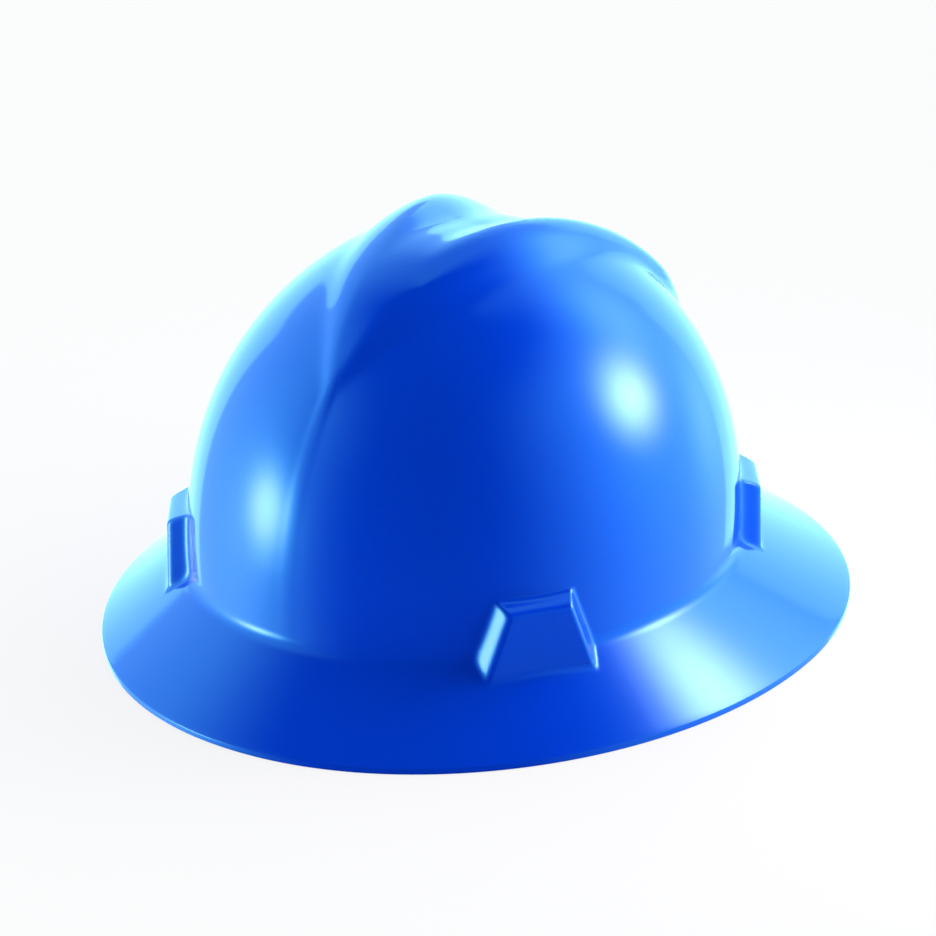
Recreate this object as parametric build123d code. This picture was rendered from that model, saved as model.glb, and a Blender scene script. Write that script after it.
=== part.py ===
from build123d import *
import os
from math import acos, cos, degrees, hypot, pi, radians, sin, sqrt, tan

# Full brim hard hat, in millimetres. The rim rests on Z = 0, the front faces -Y
# and the wearer's left side is +X. A smooth moulded shell with a full brim and a V ridge on
# its crown carries a strap suspension on four keys, with a ratchet at the nape.

# Brim: an oval, a little wider behind than in front
BRIM_HALF_LENGTH = 165.0
BRIM_HALF_WIDTH = 143.3
BRIM_POWER = 2.028
BRIM_REAR_SPREAD_SHARE = 0.0412
LIP_HEIGHT = 2.0
LIP_ROUND = 0.9

# Dome: an oval base that stands on the brim and closes over the crown
DOME_HALF_LENGTH = 121.7
DOME_HALF_WIDTH = 105.8
DOME_Y = -6.1
DOME_BASE_Z = 29.1
CROWN_Z = 163.5
CROWN_POWER = 2.417
OVAL_POWER = 1.788
WALL = 2.3
BRIM_BLEND = 8.0

# V ridge: one nose in front that parts into two arms with a valley between them
RIDGE_HEIGHT = 5.3
RIDGE_HALF_WIDTH = 43.5
RIDGE_SPREAD_POWER = 0.7
RIDGE_CREASE = 2.2
VALLEY_DEPTH = 8.8
VALLEY_POWER = 1.69
NOSE_SHARE = -0.755
FULL_HEIGHT_SHARE = -0.361
VALLEY_FULL_SHARE = 0.05
WIDEST_SHARE = 0.42
FADE_START_SHARE = 0.611
FADE_END_SHARE = 0.8175
CREST_FRONT_SHARE = 0.348
CREST_REAR_SHARE = 0.779
CREST_LEAST_SHARE = 0.3
CREST_MOST_SHARE = 0.9

# How finely the skin is laid out: rings down the dome and points round each ring
RING_SPACING = 5.5
RING_POINTS = 96
FINE_STEPS = 1500
STRAIGHT_STATION = 2.5
SLOPE_STEP = 0.4
SMALL_STEP = 1e-3
OVERRUN = 5.0

# Four hollow lugs round the dome take the suspension's keys from below
LUG_ANGLE = 39.0
LUG_OUT = 9.5
LUG_ROOT = 6.0
LUG_FOOT_Z = 18.0
LUG_FACE_TOP_Z = 40.0
LUG_FOOT_HALF = 22.0
LUG_TOP_HALF = 15.0
LUG_TOP_SLOPE = 45.0
LUG_FLARE = 30.0
LUG_ROUND = 1.8
SLOT_HALF = 14.0
SLOT_THICK = 4.4
SLOT_OFF_WALL = 1.5
SLOT_TOP_Z = 40.0

# Suspension keys: a blade in the lug's slot, a plate inside the wall and an arm to the headband
FIT = 0.3
KEY_PLATE_THICK = 3.0
KEY_PLATE_HALF = 14.0
KEY_PLATE_TOP_Z = 47.0
KEY_OFF_WALL = 1.7
KEY_BRIDGE_Z = 17.0
KEY_BRIDGE_THICK = 3.0
KEY_ARM_Z = 40.0
KEY_ARM_THICK = 3.5
KEY_ARM_HALF = 7.0
KEY_ROUND = 1.2
BAR_RADIUS = 2.0
BAR_INSET = 15.3
BAR_Z = 48.0
CHEEK_THICK = 2.5
STUD_RADIUS = 2.5
STUD_HEAD_RADIUS = 4.2
STUD_HEAD_THICK = 1.2

# Crown straps: two webbing straps that cross over the head and loop round the keys' bars
STRAP_WIDTH = 19.0
STRAP_THICK = 1.4
STRAP_TOP_Z = 118.0
STRAP_LEG_RISE = 14.0
STRAP_SEAM = 16.0

# Headband: an open oval of flexible strip with a pad across the brow
BAND_HALF_LENGTH = 94.0
BAND_HALF_WIDTH = 76.0
BAND_Y = -10.0
BAND_THICK = 1.6
BAND_FOOT_Z = 13.0
BAND_TOP_Z = 46.0
BAND_END_Y = 66.0
BAND_END_ROUND = 8.0
VENT_HALF = 6.0
VENT_ROUND = 1.6
VENT_DROP = 4.6
VENT_STEP = 17.0
VENT_REACH = 44.0
BROW_PAD_THICK = 4.0
BROW_PAD_FOOT_Z = 9.0
BROW_PAD_TOP_Z = 34.0
BROW_PAD_END_Y = -28.0
BROW_PAD_ROUND = 1.5

# Nape straps: they swing on a rivet each side and end in the racks of the ratchet
NAPE_Z = 19.5
NAPE_STRAP_HALF = 10.0
NAPE_STRAP_END = 10.0
NAPE_STRAP_OUT = 5.0
NAPE_STRAP_TURN = 35.0
PIVOT_Y = -2.0
RIVET_RADIUS = 2.5
RIVET_HEAD_RADIUS = 5.0
RIVET_HEAD_THICK = 1.4
RUNNING = 0.05

# Racks: two slotted strips on one arc, one behind the other, each with one toothed edge
ARC_Y = 17.0
RACK_RADIUS = 75.0
RACK_THICK = 1.6
RACK_REACH = 36.0
LOOSEN_TRAVEL = 17.0
TIGHTEN_TRAVEL = 8.0
RACK_TIP = 4.0
GEAR_MODULE = 0.8333
PINION_TEETH = 12
PRESSURE_ANGLE = 20.0
ADDENDUM_SHARE = 0.8
DEDENDUM_SHARE = 1.25
BACKLASH = 0.25
FLANK_POINTS = 5

# Ratchet housing and its cover
HOUSING_HALF = 32.0
HOUSING_HALF_HEIGHT = 12.5
HOUSING_EYE_RADIUS = 17.3
HOUSING_WALL = 2.2
HOUSING_ROUND = 1.0
HOUSING_HALF_ANGLE = 45.0
COVER_THICK = 1.8
SHAFT_RADIUS = 3.0
NUB_RADIUS = 2.0
CLICK_RING_RADIUS = 12.6
CLICK_TOOTH_RADIUS = 11.0
CLICK_TOOTH_HEIGHT = 0.8
CLICK_TEETH = 24
CLICK_DEPTH = 3.0
CLICK_TOOTH_SHARE = 0.6
CLICK_SPRING_THICK = 1.2
CLICK_NUB_RADIUS = 0.8
CLICK_ARM_WIDTH = 1.2
CLICK_ARM_ANGLE = 95.0
SCREW_RADIUS = 1.0
SCREW_HEAD_RADIUS = 1.9
SCREW_HEAD_THICK = 1.0
SCREW_OFFSET = 14.0
SCREW_DEPTH = 5.0
NAPE_PAD_THICK = 3.2
NAPE_PAD_HALF = 28.0
NAPE_PAD_HALF_HEIGHT = 11.0
NAPE_PAD_ROUND = 1.2

# Knob: a hub on the pinion's hexagon with a soft grip round it
KNOB_RADIUS = 14.6
KNOB_DEPTH = 10.0
KNOB_WALL = 1.3
KNOB_FACE = 2.6
GRIP_RADIUS = 16.4
GRIP_LANDS = 14
GRIP_SCALLOP_RADIUS = 2.4
GRIP_MARGIN = 1.2
HEX_ACROSS = 5.0
HUB_RADIUS = 4.6
KNOB_SCREW_RADIUS = 1.2
KNOB_SCREW_HEAD_RADIUS = 3.0
KNOB_SCREW_HEAD_THICK = 1.4
KNOB_SCREW_LENGTH = 8.0
DRIVE_SLOT = 0.8
DRIVE_REACH_SHARE = 0.7

# Places along the dome's length that the ridge follows
NOSE_Y = DOME_Y + NOSE_SHARE * DOME_HALF_LENGTH
FULL_HEIGHT_Y = DOME_Y + FULL_HEIGHT_SHARE * DOME_HALF_LENGTH
VALLEY_FULL_Y = DOME_Y + VALLEY_FULL_SHARE * DOME_HALF_LENGTH
WIDEST_Y = DOME_Y + WIDEST_SHARE * DOME_HALF_LENGTH
FADE_START_Y = DOME_Y + FADE_START_SHARE * DOME_HALF_LENGTH
FADE_END_Y = DOME_Y + FADE_END_SHARE * DOME_HALF_LENGTH
DOME_RISE = CROWN_Z - DOME_BASE_Z
UP = Vector(0, 0, 1)
KEY_TURNS = {
    "front_left": -LUG_ANGLE,
    "rear_left": LUG_ANGLE,
    "rear_right": 180 - LUG_ANGLE,
    "front_right": LUG_ANGLE - 180,
}

# Places along the knob's axis, as distances from the racks' own axis
RATCHET = Plane(origin=(0, ARC_Y, 0), x_dir=(-1, 0, 0), z_dir=(0, 1, 0))
CAVITY_IN = RACK_RADIUS - RACK_THICK / 2 - FIT
CAVITY_OUT = RACK_RADIUS + RACK_THICK + FIT + RACK_THICK / 2 + FIT
HOUSING_OUT = CAVITY_OUT + HOUSING_WALL
COVER_OUT = CAVITY_IN - RUNNING
COVER_IN = COVER_OUT - COVER_THICK
SPRING_LOW = HOUSING_OUT + FIT
SPRING_HIGH = SPRING_LOW + CLICK_SPRING_THICK
KNOB_LOW = HOUSING_OUT + FIT
KNOB_HIGH = KNOB_LOW + KNOB_DEPTH
KNOB_CEILING = KNOB_HIGH - KNOB_FACE


def clamp(value, low=0.0, high=1.0):
    return max(low, min(high, value))


def ease(value):
    share = clamp(value)
    return share * share * (3 - 2 * share)


def ridge_height(x, y):
    """Height of the V ridge over the plain dome at a place in plan."""
    along = clamp((y - NOSE_Y) / (WIDEST_Y - NOSE_Y), SMALL_STEP)
    half_width = RIDGE_HALF_WIDTH * (along * (2 - along)) ** RIDGE_SPREAD_POWER
    lead = max((FULL_HEIGHT_Y - y) / (FULL_HEIGHT_Y - NOSE_Y), 0)
    fade = max((y - FADE_START_Y) / (FADE_END_Y - FADE_START_Y), 0)
    crest_run = (y - FULL_HEIGHT_Y) / (WIDEST_Y - FULL_HEIGHT_Y)
    crest = CREST_FRONT_SHARE + (CREST_REAR_SHARE - CREST_FRONT_SHARE) * crest_run
    crest = clamp(crest, CREST_LEAST_SHARE, CREST_MOST_SHARE)
    across = abs(x) / half_width
    flank = clamp((across - crest) / (1 - crest), 0, 3)
    arm = RIDGE_HEIGHT * (1 - lead**2 - fade**2 - flank**2)
    raised = (arm + hypot(arm, RIDGE_CREASE)) / 2
    opening = ease((y - FULL_HEIGHT_Y) / (VALLEY_FULL_Y - FULL_HEIGHT_Y)) * (1 - ease(fade))
    valley = VALLEY_DEPTH * opening * (1 + cos(pi * clamp(across / crest) ** VALLEY_POWER)) / 2
    return raised - valley


def dome_share(z):
    """Share of the base oval that the plain dome still covers at a height."""
    return (1 - ((z - DOME_BASE_Z) / DOME_RISE) ** CROWN_POWER) ** (1 / OVAL_POWER)


def dome_point(share, turn):
    """Point of the crown, ridge included, at a share of the base oval."""
    x = DOME_HALF_WIDTH * share * cos(turn)
    run = DOME_HALF_LENGTH * share * sin(turn)
    climb = max(1 - share**OVAL_POWER, 0) ** (1 / CROWN_POWER)
    steep = OVAL_POWER * share ** (OVAL_POWER - 2)
    slope_x = steep * x / DOME_HALF_WIDTH**2
    slope_y = steep * run / DOME_HALF_LENGTH**2
    slope_z = CROWN_POWER * climb ** (CROWN_POWER - 1) / DOME_RISE
    outward = Vector(slope_x, slope_y, slope_z).normalized()
    plain = Vector(x, DOME_Y + run, DOME_BASE_Z + DOME_RISE * climb)
    return plain + outward * ridge_height(x, DOME_Y + run)


def corner_point(turn):
    """Point of the base oval, where dome and brim would meet in a sharp corner."""
    return Vector(DOME_HALF_WIDTH * cos(turn), DOME_Y + DOME_HALF_LENGTH * sin(turn), DOME_BASE_Z)


def bulge(value):
    """Signed power that makes the brim's oval a little squarer than an ellipse."""
    size = abs(value) ** (2 / BRIM_POWER)
    return size if value >= 0 else -size


def rim_point(turn, z=LIP_HEIGHT):
    share = bulge(sin(turn))
    x = BRIM_HALF_WIDTH * bulge(cos(turn)) * (1 + BRIM_REAR_SPREAD_SHARE * share)
    return Vector(x, BRIM_HALF_LENGTH * share, z)


def skin_point(station, turn):
    """Outer skin: stations 0 to 1 are the dome, 1 to 2 the blend and 2 to 3 the brim."""
    last_share = dome_share(DOME_BASE_Z + BRIM_BLEND)
    if station <= 1:
        return dome_point(last_share * sin(station * pi / 2), turn)
    corner = corner_point(turn)
    brim = rim_point(turn) - corner
    start = corner + brim.normalized() * BRIM_BLEND
    if station <= 2:
        along = station - 1
        upper = dome_point(last_share, turn)
        return upper * (1 - along) ** 2 + corner * (2 * along * (1 - along)) + start * along**2
    return start + (rim_point(turn) - start) * (station - 2)


def skin_normal(station, turn):
    low = max(station - SMALL_STEP, SMALL_STEP)
    high = min(station + SMALL_STEP, 3)
    down = skin_point(high, turn) - skin_point(low, turn)
    around = skin_point(station, turn + SMALL_STEP) - skin_point(station, turn - SMALL_STEP)
    return down.cross(around).normalized()


def offset_point(station, turn):
    return skin_point(station, turn) - skin_normal(station, turn) * WALL


def inner_point(station, turn):
    """Inner skin: offset by the wall, then run on in a straight line to below the rim."""
    if station <= STRAIGHT_STATION:
        return offset_point(station, turn)
    upper = offset_point(STRAIGHT_STATION, turn)
    lower = offset_point(STRAIGHT_STATION + SLOPE_STEP, turn)
    whole_run = (upper.Z + OVERRUN) / (upper.Z - lower.Z)
    return upper + (lower - upper) * whole_run * (station - STRAIGHT_STATION) / (3 - STRAIGHT_STATION)


def ring(place, *given):
    turns = [2 * pi * count / RING_POINTS for count in range(RING_POINTS)]
    points = [place(*given, turn) for turn in turns]
    knots = [count / RING_POINTS for count in range(RING_POINTS + 1)]
    return Wire([Edge.make_spline(points, periodic=True, parameters=knots)])


def even_stations(place):
    """Stations of rings that lie evenly down one side of the skin."""
    fine = [3 * (count + 1) / FINE_STEPS for count in range(FINE_STEPS)]
    points = [place(station, pi / 4) for station in fine]
    lengths = [0.0]
    for upper, lower in zip(points, points[1:]):
        lengths.append(lengths[-1] + (lower - upper).length)
    count = round(lengths[-1] / RING_SPACING)
    found = []
    for wanted in range(1, count):
        target = lengths[-1] * wanted / count
        found.append(next(s for s, run in zip(fine, lengths) if run >= target))
    return found + [3]


def skin_solid(place, apex):
    rings = [ring(place, station) for station in even_stations(place)]
    return Solid.make_loft([Vertex(*apex)] + rings)


def lug_plane(turn_degrees):
    """Plane at a lug: X runs round the dome, Y is up and Z points straight out."""
    turn = radians(turn_degrees)
    foot = corner_point(turn)
    outward = Vector(cos(turn) / DOME_HALF_WIDTH, sin(turn) / DOME_HALF_LENGTH, 0).normalized()
    return Plane(origin=(foot.X, foot.Y, 0), x_dir=UP.cross(outward), z_dir=outward)


def span_box(plane, across, up, out):
    """Box between a low and a high value on each axis of a plane."""
    middle = Pos(sum(across) / 2, sum(up) / 2, sum(out) / 2)
    return plane * middle * Box(across[1] - across[0], up[1] - up[0], out[1] - out[0])


def lug_outline(plane, out):
    """Four-sided section of a lug, wider and taller the nearer it is to the dome."""
    back = LUG_OUT - out
    widen = back * tan(radians(LUG_FLARE))
    rise = back * tan(radians(LUG_TOP_SLOPE))
    lean = (LUG_FOOT_HALF - LUG_TOP_HALF) / (LUG_FACE_TOP_Z - LUG_FOOT_Z)
    foot = LUG_FOOT_HALF + widen
    top = LUG_TOP_HALF + widen - lean * rise
    corners = [
        (-foot, LUG_FOOT_Z),
        (foot, LUG_FOOT_Z),
        (top, LUG_FACE_TOP_Z + rise),
        (-top, LUG_FACE_TOP_Z + rise),
    ]
    return plane.offset(out) * make_face(Polyline(*corners, close=True))


def lug(turn_degrees):
    plane = lug_plane(turn_degrees)
    body = loft([lug_outline(plane, -LUG_ROOT), lug_outline(plane, LUG_OUT)])
    shown = []
    for edge in body.edges():
        place = plane.to_local_coords(edge.center())
        if place.Z > -LUG_ROOT + OVERRUN / 2 and place.Y > LUG_FOOT_Z + OVERRUN / 2:
            shown.append(edge)
    return fillet(shown, LUG_ROUND)


def key_slot(turn_degrees):
    plane = lug_plane(turn_degrees)
    out = (SLOT_OFF_WALL, SLOT_OFF_WALL + SLOT_THICK)
    return span_box(plane, (-SLOT_HALF, SLOT_HALF), (KEY_BRIDGE_Z - OVERRUN, SLOT_TOP_Z), out)


def moulded_shell():
    """Shell with its brim, ridge, lugs and key slots."""
    apex = skin_point(SMALL_STEP / 10, 0)
    rim_face = Face(ring(rim_point))
    skin = Part() + skin_solid(skin_point, apex)
    skin += extrude(rim_face, amount=LIP_HEIGHT, dir=(0, 0, -1))
    rim_edges = skin.edges().filter_by(lambda edge: edge.center().Z < 2 * LIP_HEIGHT)
    skin = fillet(rim_edges.sort_by(Axis.Z)[-1:], LIP_ROUND)
    hollow = skin_solid(inner_point, apex - UP * WALL)
    for turn in KEY_TURNS.values():
        skin += lug(turn)
    skin -= hollow
    for turn in KEY_TURNS.values():
        skin -= key_slot(turn)
    return skin


def band_depth(plane):
    """How far in from a lug the middle of the headband lies, straight in front of it."""
    start = plane.origin - Vector(0, BAND_Y, 0)
    inward = plane.z_dir * -1
    square = (inward.X / BAND_HALF_WIDTH) ** 2 + (inward.Y / BAND_HALF_LENGTH) ** 2
    mixed = start.X * inward.X / BAND_HALF_WIDTH**2 + start.Y * inward.Y / BAND_HALF_LENGTH**2
    beyond = (start.X / BAND_HALF_WIDTH) ** 2 + (start.Y / BAND_HALF_LENGTH) ** 2 - 1
    return (-mixed - sqrt(mixed**2 - square * beyond)) / square


def strap_plane(turn_degrees):
    """Upright plane through the dome's centre and a lug: X runs out to the lug, Y is up."""
    foot = corner_point(radians(turn_degrees))
    outward = Vector(foot.X, foot.Y - DOME_Y, 0).normalized()
    return Plane(origin=(0, DOME_Y, 0), x_dir=outward, z_dir=outward.cross(UP))


def bar_reach():
    """Distance of the keys' bars from the dome's centre."""
    foot = corner_point(radians(LUG_ANGLE))
    return hypot(foot.X, foot.Y - DOME_Y) - BAR_INSET


def suspension_key(turn_degrees):
    plane = lug_plane(turn_degrees)
    upright = strap_plane(turn_degrees)
    blade_out = (SLOT_OFF_WALL + FIT, SLOT_OFF_WALL + SLOT_THICK - FIT)
    plate_out = (-WALL - KEY_OFF_WALL - KEY_PLATE_THICK, -WALL - KEY_OFF_WALL)
    bridge_up = (KEY_BRIDGE_Z, KEY_BRIDGE_Z + KEY_BRIDGE_THICK)
    blade_half = SLOT_HALF - FIT
    depth = band_depth(plane)
    arm_end = -depth + BAND_THICK / 2 + FIT
    stud_end = -depth - BAND_THICK / 2 - 2 * FIT
    arm_up = (KEY_ARM_Z - KEY_ARM_THICK / 2, KEY_ARM_Z + KEY_ARM_THICK / 2)
    blade = span_box(plane, (-blade_half, blade_half), (KEY_BRIDGE_Z, SLOT_TOP_Z - FIT), blade_out)
    lead = blade.edges().filter_by(Axis((0, 0, 0), plane.x_dir)).sort_by(Axis.Z)[-2:]
    blade = chamfer(lead, KEY_ROUND)
    plate_half = (-KEY_PLATE_HALF, KEY_PLATE_HALF)
    plate = span_box(plane, plate_half, (KEY_BRIDGE_Z, KEY_PLATE_TOP_Z), plate_out)
    bridge = span_box(plane, plate_half, bridge_up, (plate_out[0], blade_out[1]))
    arm = span_box(plane, (-KEY_ARM_HALF, KEY_ARM_HALF), arm_up, (arm_end, plate_out[1]))
    key = blade + fillet((plate + bridge).edges().filter_by(Axis.Z), KEY_ROUND)
    reach = bar_reach()
    cheek_in = STRAP_WIDTH / 2 + 2 * FIT
    bar = upright * Pos(reach, BAR_Z, 0) * Cylinder(BAR_RADIUS, 2 * (cheek_in + CHEEK_THICK))
    cheeks = Part()
    for side in (-1, 1):
        middle = side * (cheek_in + CHEEK_THICK / 2)
        across = (middle - CHEEK_THICK / 2, middle + CHEEK_THICK / 2)
        out = (reach - BAR_RADIUS, reach + BAR_INSET)
        cheek = span_box(upright, out, (arm_up[0], BAR_Z + BAR_RADIUS), across)
        cheeks += cheek
    inside = span_box(plane, (-reach, reach), (0, reach), (-reach, plate_out[1]))
    cross_out = (reach - BAR_RADIUS, reach + BAR_INSET)
    crosspiece = span_box(upright, cross_out, arm_up, (-cheek_in, cheek_in))
    key += (cheeks + crosspiece) & inside
    key += arm + bar
    stud_length = arm_end - stud_end + STUD_HEAD_THICK
    foot = plane * Pos(0, KEY_ARM_Z, arm_end - stud_length)
    key += foot * Cylinder(STUD_RADIUS, stud_length + FIT, align=(Align.CENTER, Align.CENTER, Align.MIN))
    key += foot * Cylinder(
        STUD_HEAD_RADIUS, STUD_HEAD_THICK, align=(Align.CENTER, Align.CENTER, Align.MIN)
    )
    return key


def oval_ring(half_width, half_length, thick, low_z, high_z):
    """Upright oval wall about the headband's centre, given by its middle line."""
    outer = Ellipse(half_width + thick / 2, half_length + thick / 2)
    inner = Ellipse(half_width - thick / 2, half_length - thick / 2)
    return Pos(0, BAND_Y, low_z) * extrude(outer - inner, amount=high_z - low_z)


def behind(y):
    """Large block of everything behind a place along the length."""
    size = 2 * BRIM_HALF_LENGTH
    return Pos(0, y + size / 2, 0) * Box(size, size, size)


def pivot_hole(radius):
    return Pos(0, PIVOT_Y, NAPE_Z) * Rot(0, 90, 0) * Cylinder(radius, 2 * BRIM_HALF_WIDTH)


def vent_places():
    """Places across the brow of the slots that let air through the headband."""
    count = int(VENT_REACH / VENT_STEP)
    return [VENT_STEP * step for step in range(-count, count + 1)]


def headband():
    """Open oval strip with air slots over the brow, holes for the keys' studs and rounded ends."""
    band = oval_ring(BAND_HALF_WIDTH, BAND_HALF_LENGTH, BAND_THICK, BAND_FOOT_Z, BAND_TOP_Z)
    length = BAND_END_Y + BRIM_HALF_LENGTH
    height = BAND_TOP_Z - BAND_FOOT_Z
    trim = Box(2 * BRIM_HALF_WIDTH, length, height)
    rear_edges = trim.edges().filter_by(Axis.X).group_by(Axis.Y)[-1]
    trim = fillet(rear_edges, BAND_END_ROUND)
    band &= Pos(0, BAND_END_Y - length / 2, BAND_FOOT_Z + height / 2) * trim
    for turn in KEY_TURNS.values():
        plane = lug_plane(turn)
        hole = Cylinder(STUD_RADIUS + RUNNING, 4 * BAND_THICK)
        band -= plane * Pos(0, KEY_ARM_Z, -band_depth(plane)) * hole
    for x in vent_places():
        vent = SlotOverall(2 * VENT_HALF, 2 * VENT_ROUND)
        cut = extrude(Plane.XZ * vent, amount=BAND_HALF_LENGTH)
        band -= Pos(x, BAND_Y, BAND_TOP_Z - VENT_DROP) * cut
    return band - pivot_hole(RIVET_RADIUS)


def brow_pad():
    inset = (BAND_THICK + BROW_PAD_THICK) / 2 + FIT
    pad = oval_ring(
        BAND_HALF_WIDTH - inset,
        BAND_HALF_LENGTH - inset,
        BROW_PAD_THICK,
        BROW_PAD_FOOT_Z,
        BROW_PAD_TOP_Z,
    )
    pad -= behind(BROW_PAD_END_Y)
    return chamfer(pad.edges(), BROW_PAD_ROUND)


def strap_foot():
    """Half the span of a crown strap's inner side at its bars."""
    return bar_reach() - BAR_RADIUS - FIT - STRAP_THICK


def crossing_lift():
    """How much higher the upper strap runs, so that it clears the lower one all over."""
    across = strap_plane(LUG_ANGLE).x_dir.get_angle(strap_plane(-LUG_ANGLE).x_dir)
    reach = STRAP_WIDTH / 2 * (1 + abs(cos(radians(across)))) / sin(radians(across))
    drop = 1 - sqrt(1 - (reach / strap_foot()) ** 2)
    return STRAP_THICK + FIT + (STRAP_TOP_Z - BAR_Z) * drop


def strap_section(lift):
    """Side view of a crown strap: the arch over the head and a sewn loop at each end."""
    reach = bar_reach()
    eye = BAR_RADIUS + FIT
    foot = strap_foot()
    rise = STRAP_TOP_Z + lift - BAR_Z
    seam_low = BAR_Z + STRAP_LEG_RISE
    seam_high = seam_low + STRAP_SEAM
    tall = 2 * rise + 4 * STRAP_THICK
    above = Pos(0, BAR_Z + tall / 2) * Rectangle(3 * reach, tall)
    arch = Ellipse(foot + STRAP_THICK, rise + STRAP_THICK) - Ellipse(foot, rise)
    section = (Pos(0, BAR_Z) * arch) & above
    seam = Ellipse(foot + 2 * STRAP_THICK, rise + 2 * STRAP_THICK)
    seam -= Ellipse(foot + STRAP_THICK, rise + STRAP_THICK)
    seam = (Pos(0, BAR_Z) * seam) & Pos(0, seam_low + STRAP_SEAM / 2) * Rectangle(3 * reach, STRAP_SEAM)
    section += seam
    share = (seam_low - BAR_Z) / (rise + STRAP_THICK)
    meet = (foot + STRAP_THICK) * sqrt(1 - share**2)
    for side in (-1, 1):
        loop = Circle(eye + STRAP_THICK) - Circle(eye)
        loop = Pos(side * reach, BAR_Z) * loop
        section += loop - above
        leg = Polyline(
            (side * (reach + eye), BAR_Z),
            (side * (reach + eye + STRAP_THICK), BAR_Z),
            (side * (meet + STRAP_THICK), seam_low),
            (side * meet, seam_low),
            close=True,
        )
        section += make_face(leg)
    return section


def crown_strap(turn_degrees, lift):
    return extrude(strap_plane(turn_degrees) * strap_section(lift), amount=STRAP_WIDTH / 2, both=True)


def at_nape(piece):
    return Pos(0, 0, NAPE_Z) * piece


def arc_sector(low_radius, high_radius, low_z, high_z, low_angle, high_angle):
    """Part of an upright ring about the racks' axis. Angles start at the rear, towards +X."""
    size = 3 * high_radius
    middle = (low_angle + high_angle) / 2
    rays = [radians(angle) for angle in (low_angle, middle, high_angle)]
    corners = [(size * sin(ray), size * cos(ray)) for ray in rays]
    wedge = make_face(Polyline((0, 0), *corners, close=True))
    band = (Circle(high_radius) - Circle(low_radius)) & wedge
    return Pos(0, ARC_Y, low_z) * extrude(band, amount=high_z - low_z)


def rack_radius(side):
    """The left rack lies inside, next to the head, and the right one just behind it."""
    return RACK_RADIUS if side > 0 else RACK_RADIUS + RACK_THICK + FIT


def arc_angle(run, side=1):
    return degrees(run / rack_radius(side))


def rack(side):
    """Slotted strip whose slot has teeth along its upper edge, or its lower one on the right."""
    radius = rack_radius(side)
    pitch_radius = GEAR_MODULE * PINION_TEETH / 2
    tip = pitch_radius - ADDENDUM_SHARE * GEAR_MODULE
    root = pitch_radius + DEDENDUM_SHARE * GEAR_MODULE
    clear = pitch_radius + GEAR_MODULE + 2 * FIT
    low = radius - RACK_THICK / 2
    high = radius + RACK_THICK / 2
    slot_in = LOOSEN_TRAVEL + pitch_radius + GEAR_MODULE
    slot_out = TIGHTEN_TRAVEL + pitch_radius + GEAR_MODULE
    strip = arc_sector(
        low,
        high,
        -NAPE_STRAP_HALF,
        NAPE_STRAP_HALF,
        -arc_angle(slot_in + RACK_TIP, side),
        arc_angle(RACK_REACH, side),
    )
    slot = arc_sector(
        low - FIT, high + FIT, -clear, root, -arc_angle(slot_in, side), arc_angle(slot_out, side)
    )
    strip -= slot
    pitch = pi * GEAR_MODULE
    lean = tan(radians(PRESSURE_ANGLE))
    half = pitch / 4 - BACKLASH / 2
    tip_half = half - (pitch_radius - tip) * lean
    root_half = half + (root - pitch_radius) * lean
    left_side = [(-root_half, root + FIT), (-tip_half, tip)]
    right_side = [(tip_half, tip), (root_half, root + FIT)]
    tooth = make_face(Polyline(*left_side, *right_side, close=True))
    depth = RACK_THICK - 2 * RUNNING
    before = int(slot_in / pitch - 0.5)
    after = int(slot_out / pitch - 0.5)
    for count in range(-before, after):
        run = (count + 0.5) * pitch
        turned = Pos(0, ARC_Y, 0) * Rot(0, 0, -arc_angle(run, side)) * Pos(0, radius + depth / 2, 0)
        strip += turned * Rot(90, 0, 0) * extrude(tooth, amount=depth)
    flip = Rot(0, 0, 0) if side > 0 else Rot(0, 180, 0)
    return at_nape(flip * strip)


def half_tooth_angle(radius):
    """Half the angle that a pinion tooth with involute flanks takes up at a radius."""
    pitch_radius = GEAR_MODULE * PINION_TEETH / 2
    base = pitch_radius * cos(radians(PRESSURE_ANGLE))
    at_pitch = acos(base / pitch_radius)
    here = acos(min(base / radius, 1))
    half_pitch = pi / (2 * PINION_TEETH) - BACKLASH / (2 * pitch_radius)
    return half_pitch + (tan(at_pitch) - at_pitch) - (tan(here) - here)


def pinion_outline():
    pitch_radius = GEAR_MODULE * PINION_TEETH / 2
    base = pitch_radius * cos(radians(PRESSURE_ANGLE))
    root = pitch_radius - DEDENDUM_SHARE * GEAR_MODULE
    tip = pitch_radius + ADDENDUM_SHARE * GEAR_MODULE
    points = []
    for tooth in range(PINION_TEETH):
        middle = pi / 2 + 2 * pi * tooth / PINION_TEETH
        climb = [base + (tip - base) * count / FLANK_POINTS for count in range(FLANK_POINTS + 1)]
        for radius in [root] + climb:
            angle = middle - half_tooth_angle(radius)
            points.append((radius * cos(angle), radius * sin(angle)))
        for radius in climb[::-1] + [root]:
            angle = middle + half_tooth_angle(radius)
            points.append((radius * cos(angle), radius * sin(angle)))
    return make_face(Polyline(*points, close=True))


def drum(radius, low, high):
    """Cylinder on the knob's axis between two distances from the racks' axis."""
    return RATCHET * Pos(0, 0, (low + high) / 2) * Cylinder(radius, high - low)


def hexagon(across, low, high):
    face = RegularPolygon(across / 2, 6, major_radius=False)
    return RATCHET * Pos(0, 0, low) * extrude(face, amount=high - low)


def eyed_plate(half, half_height, eye_radius, low, high):
    """Curved plate with a round eye in its middle."""
    outline = Rectangle(2 * half, 2 * half_height) + Circle(eye_radius)
    plate = RATCHET * extrude(outline, amount=high + OVERRUN)
    reach = eye_radius + OVERRUN
    return plate & arc_sector(low, high, -reach, reach, -HOUSING_HALF_ANGLE, HOUSING_HALF_ANGLE)


def screw_places():
    return [Pos(0, side * SCREW_OFFSET, 0) for side in (-1, 1)]


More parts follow.
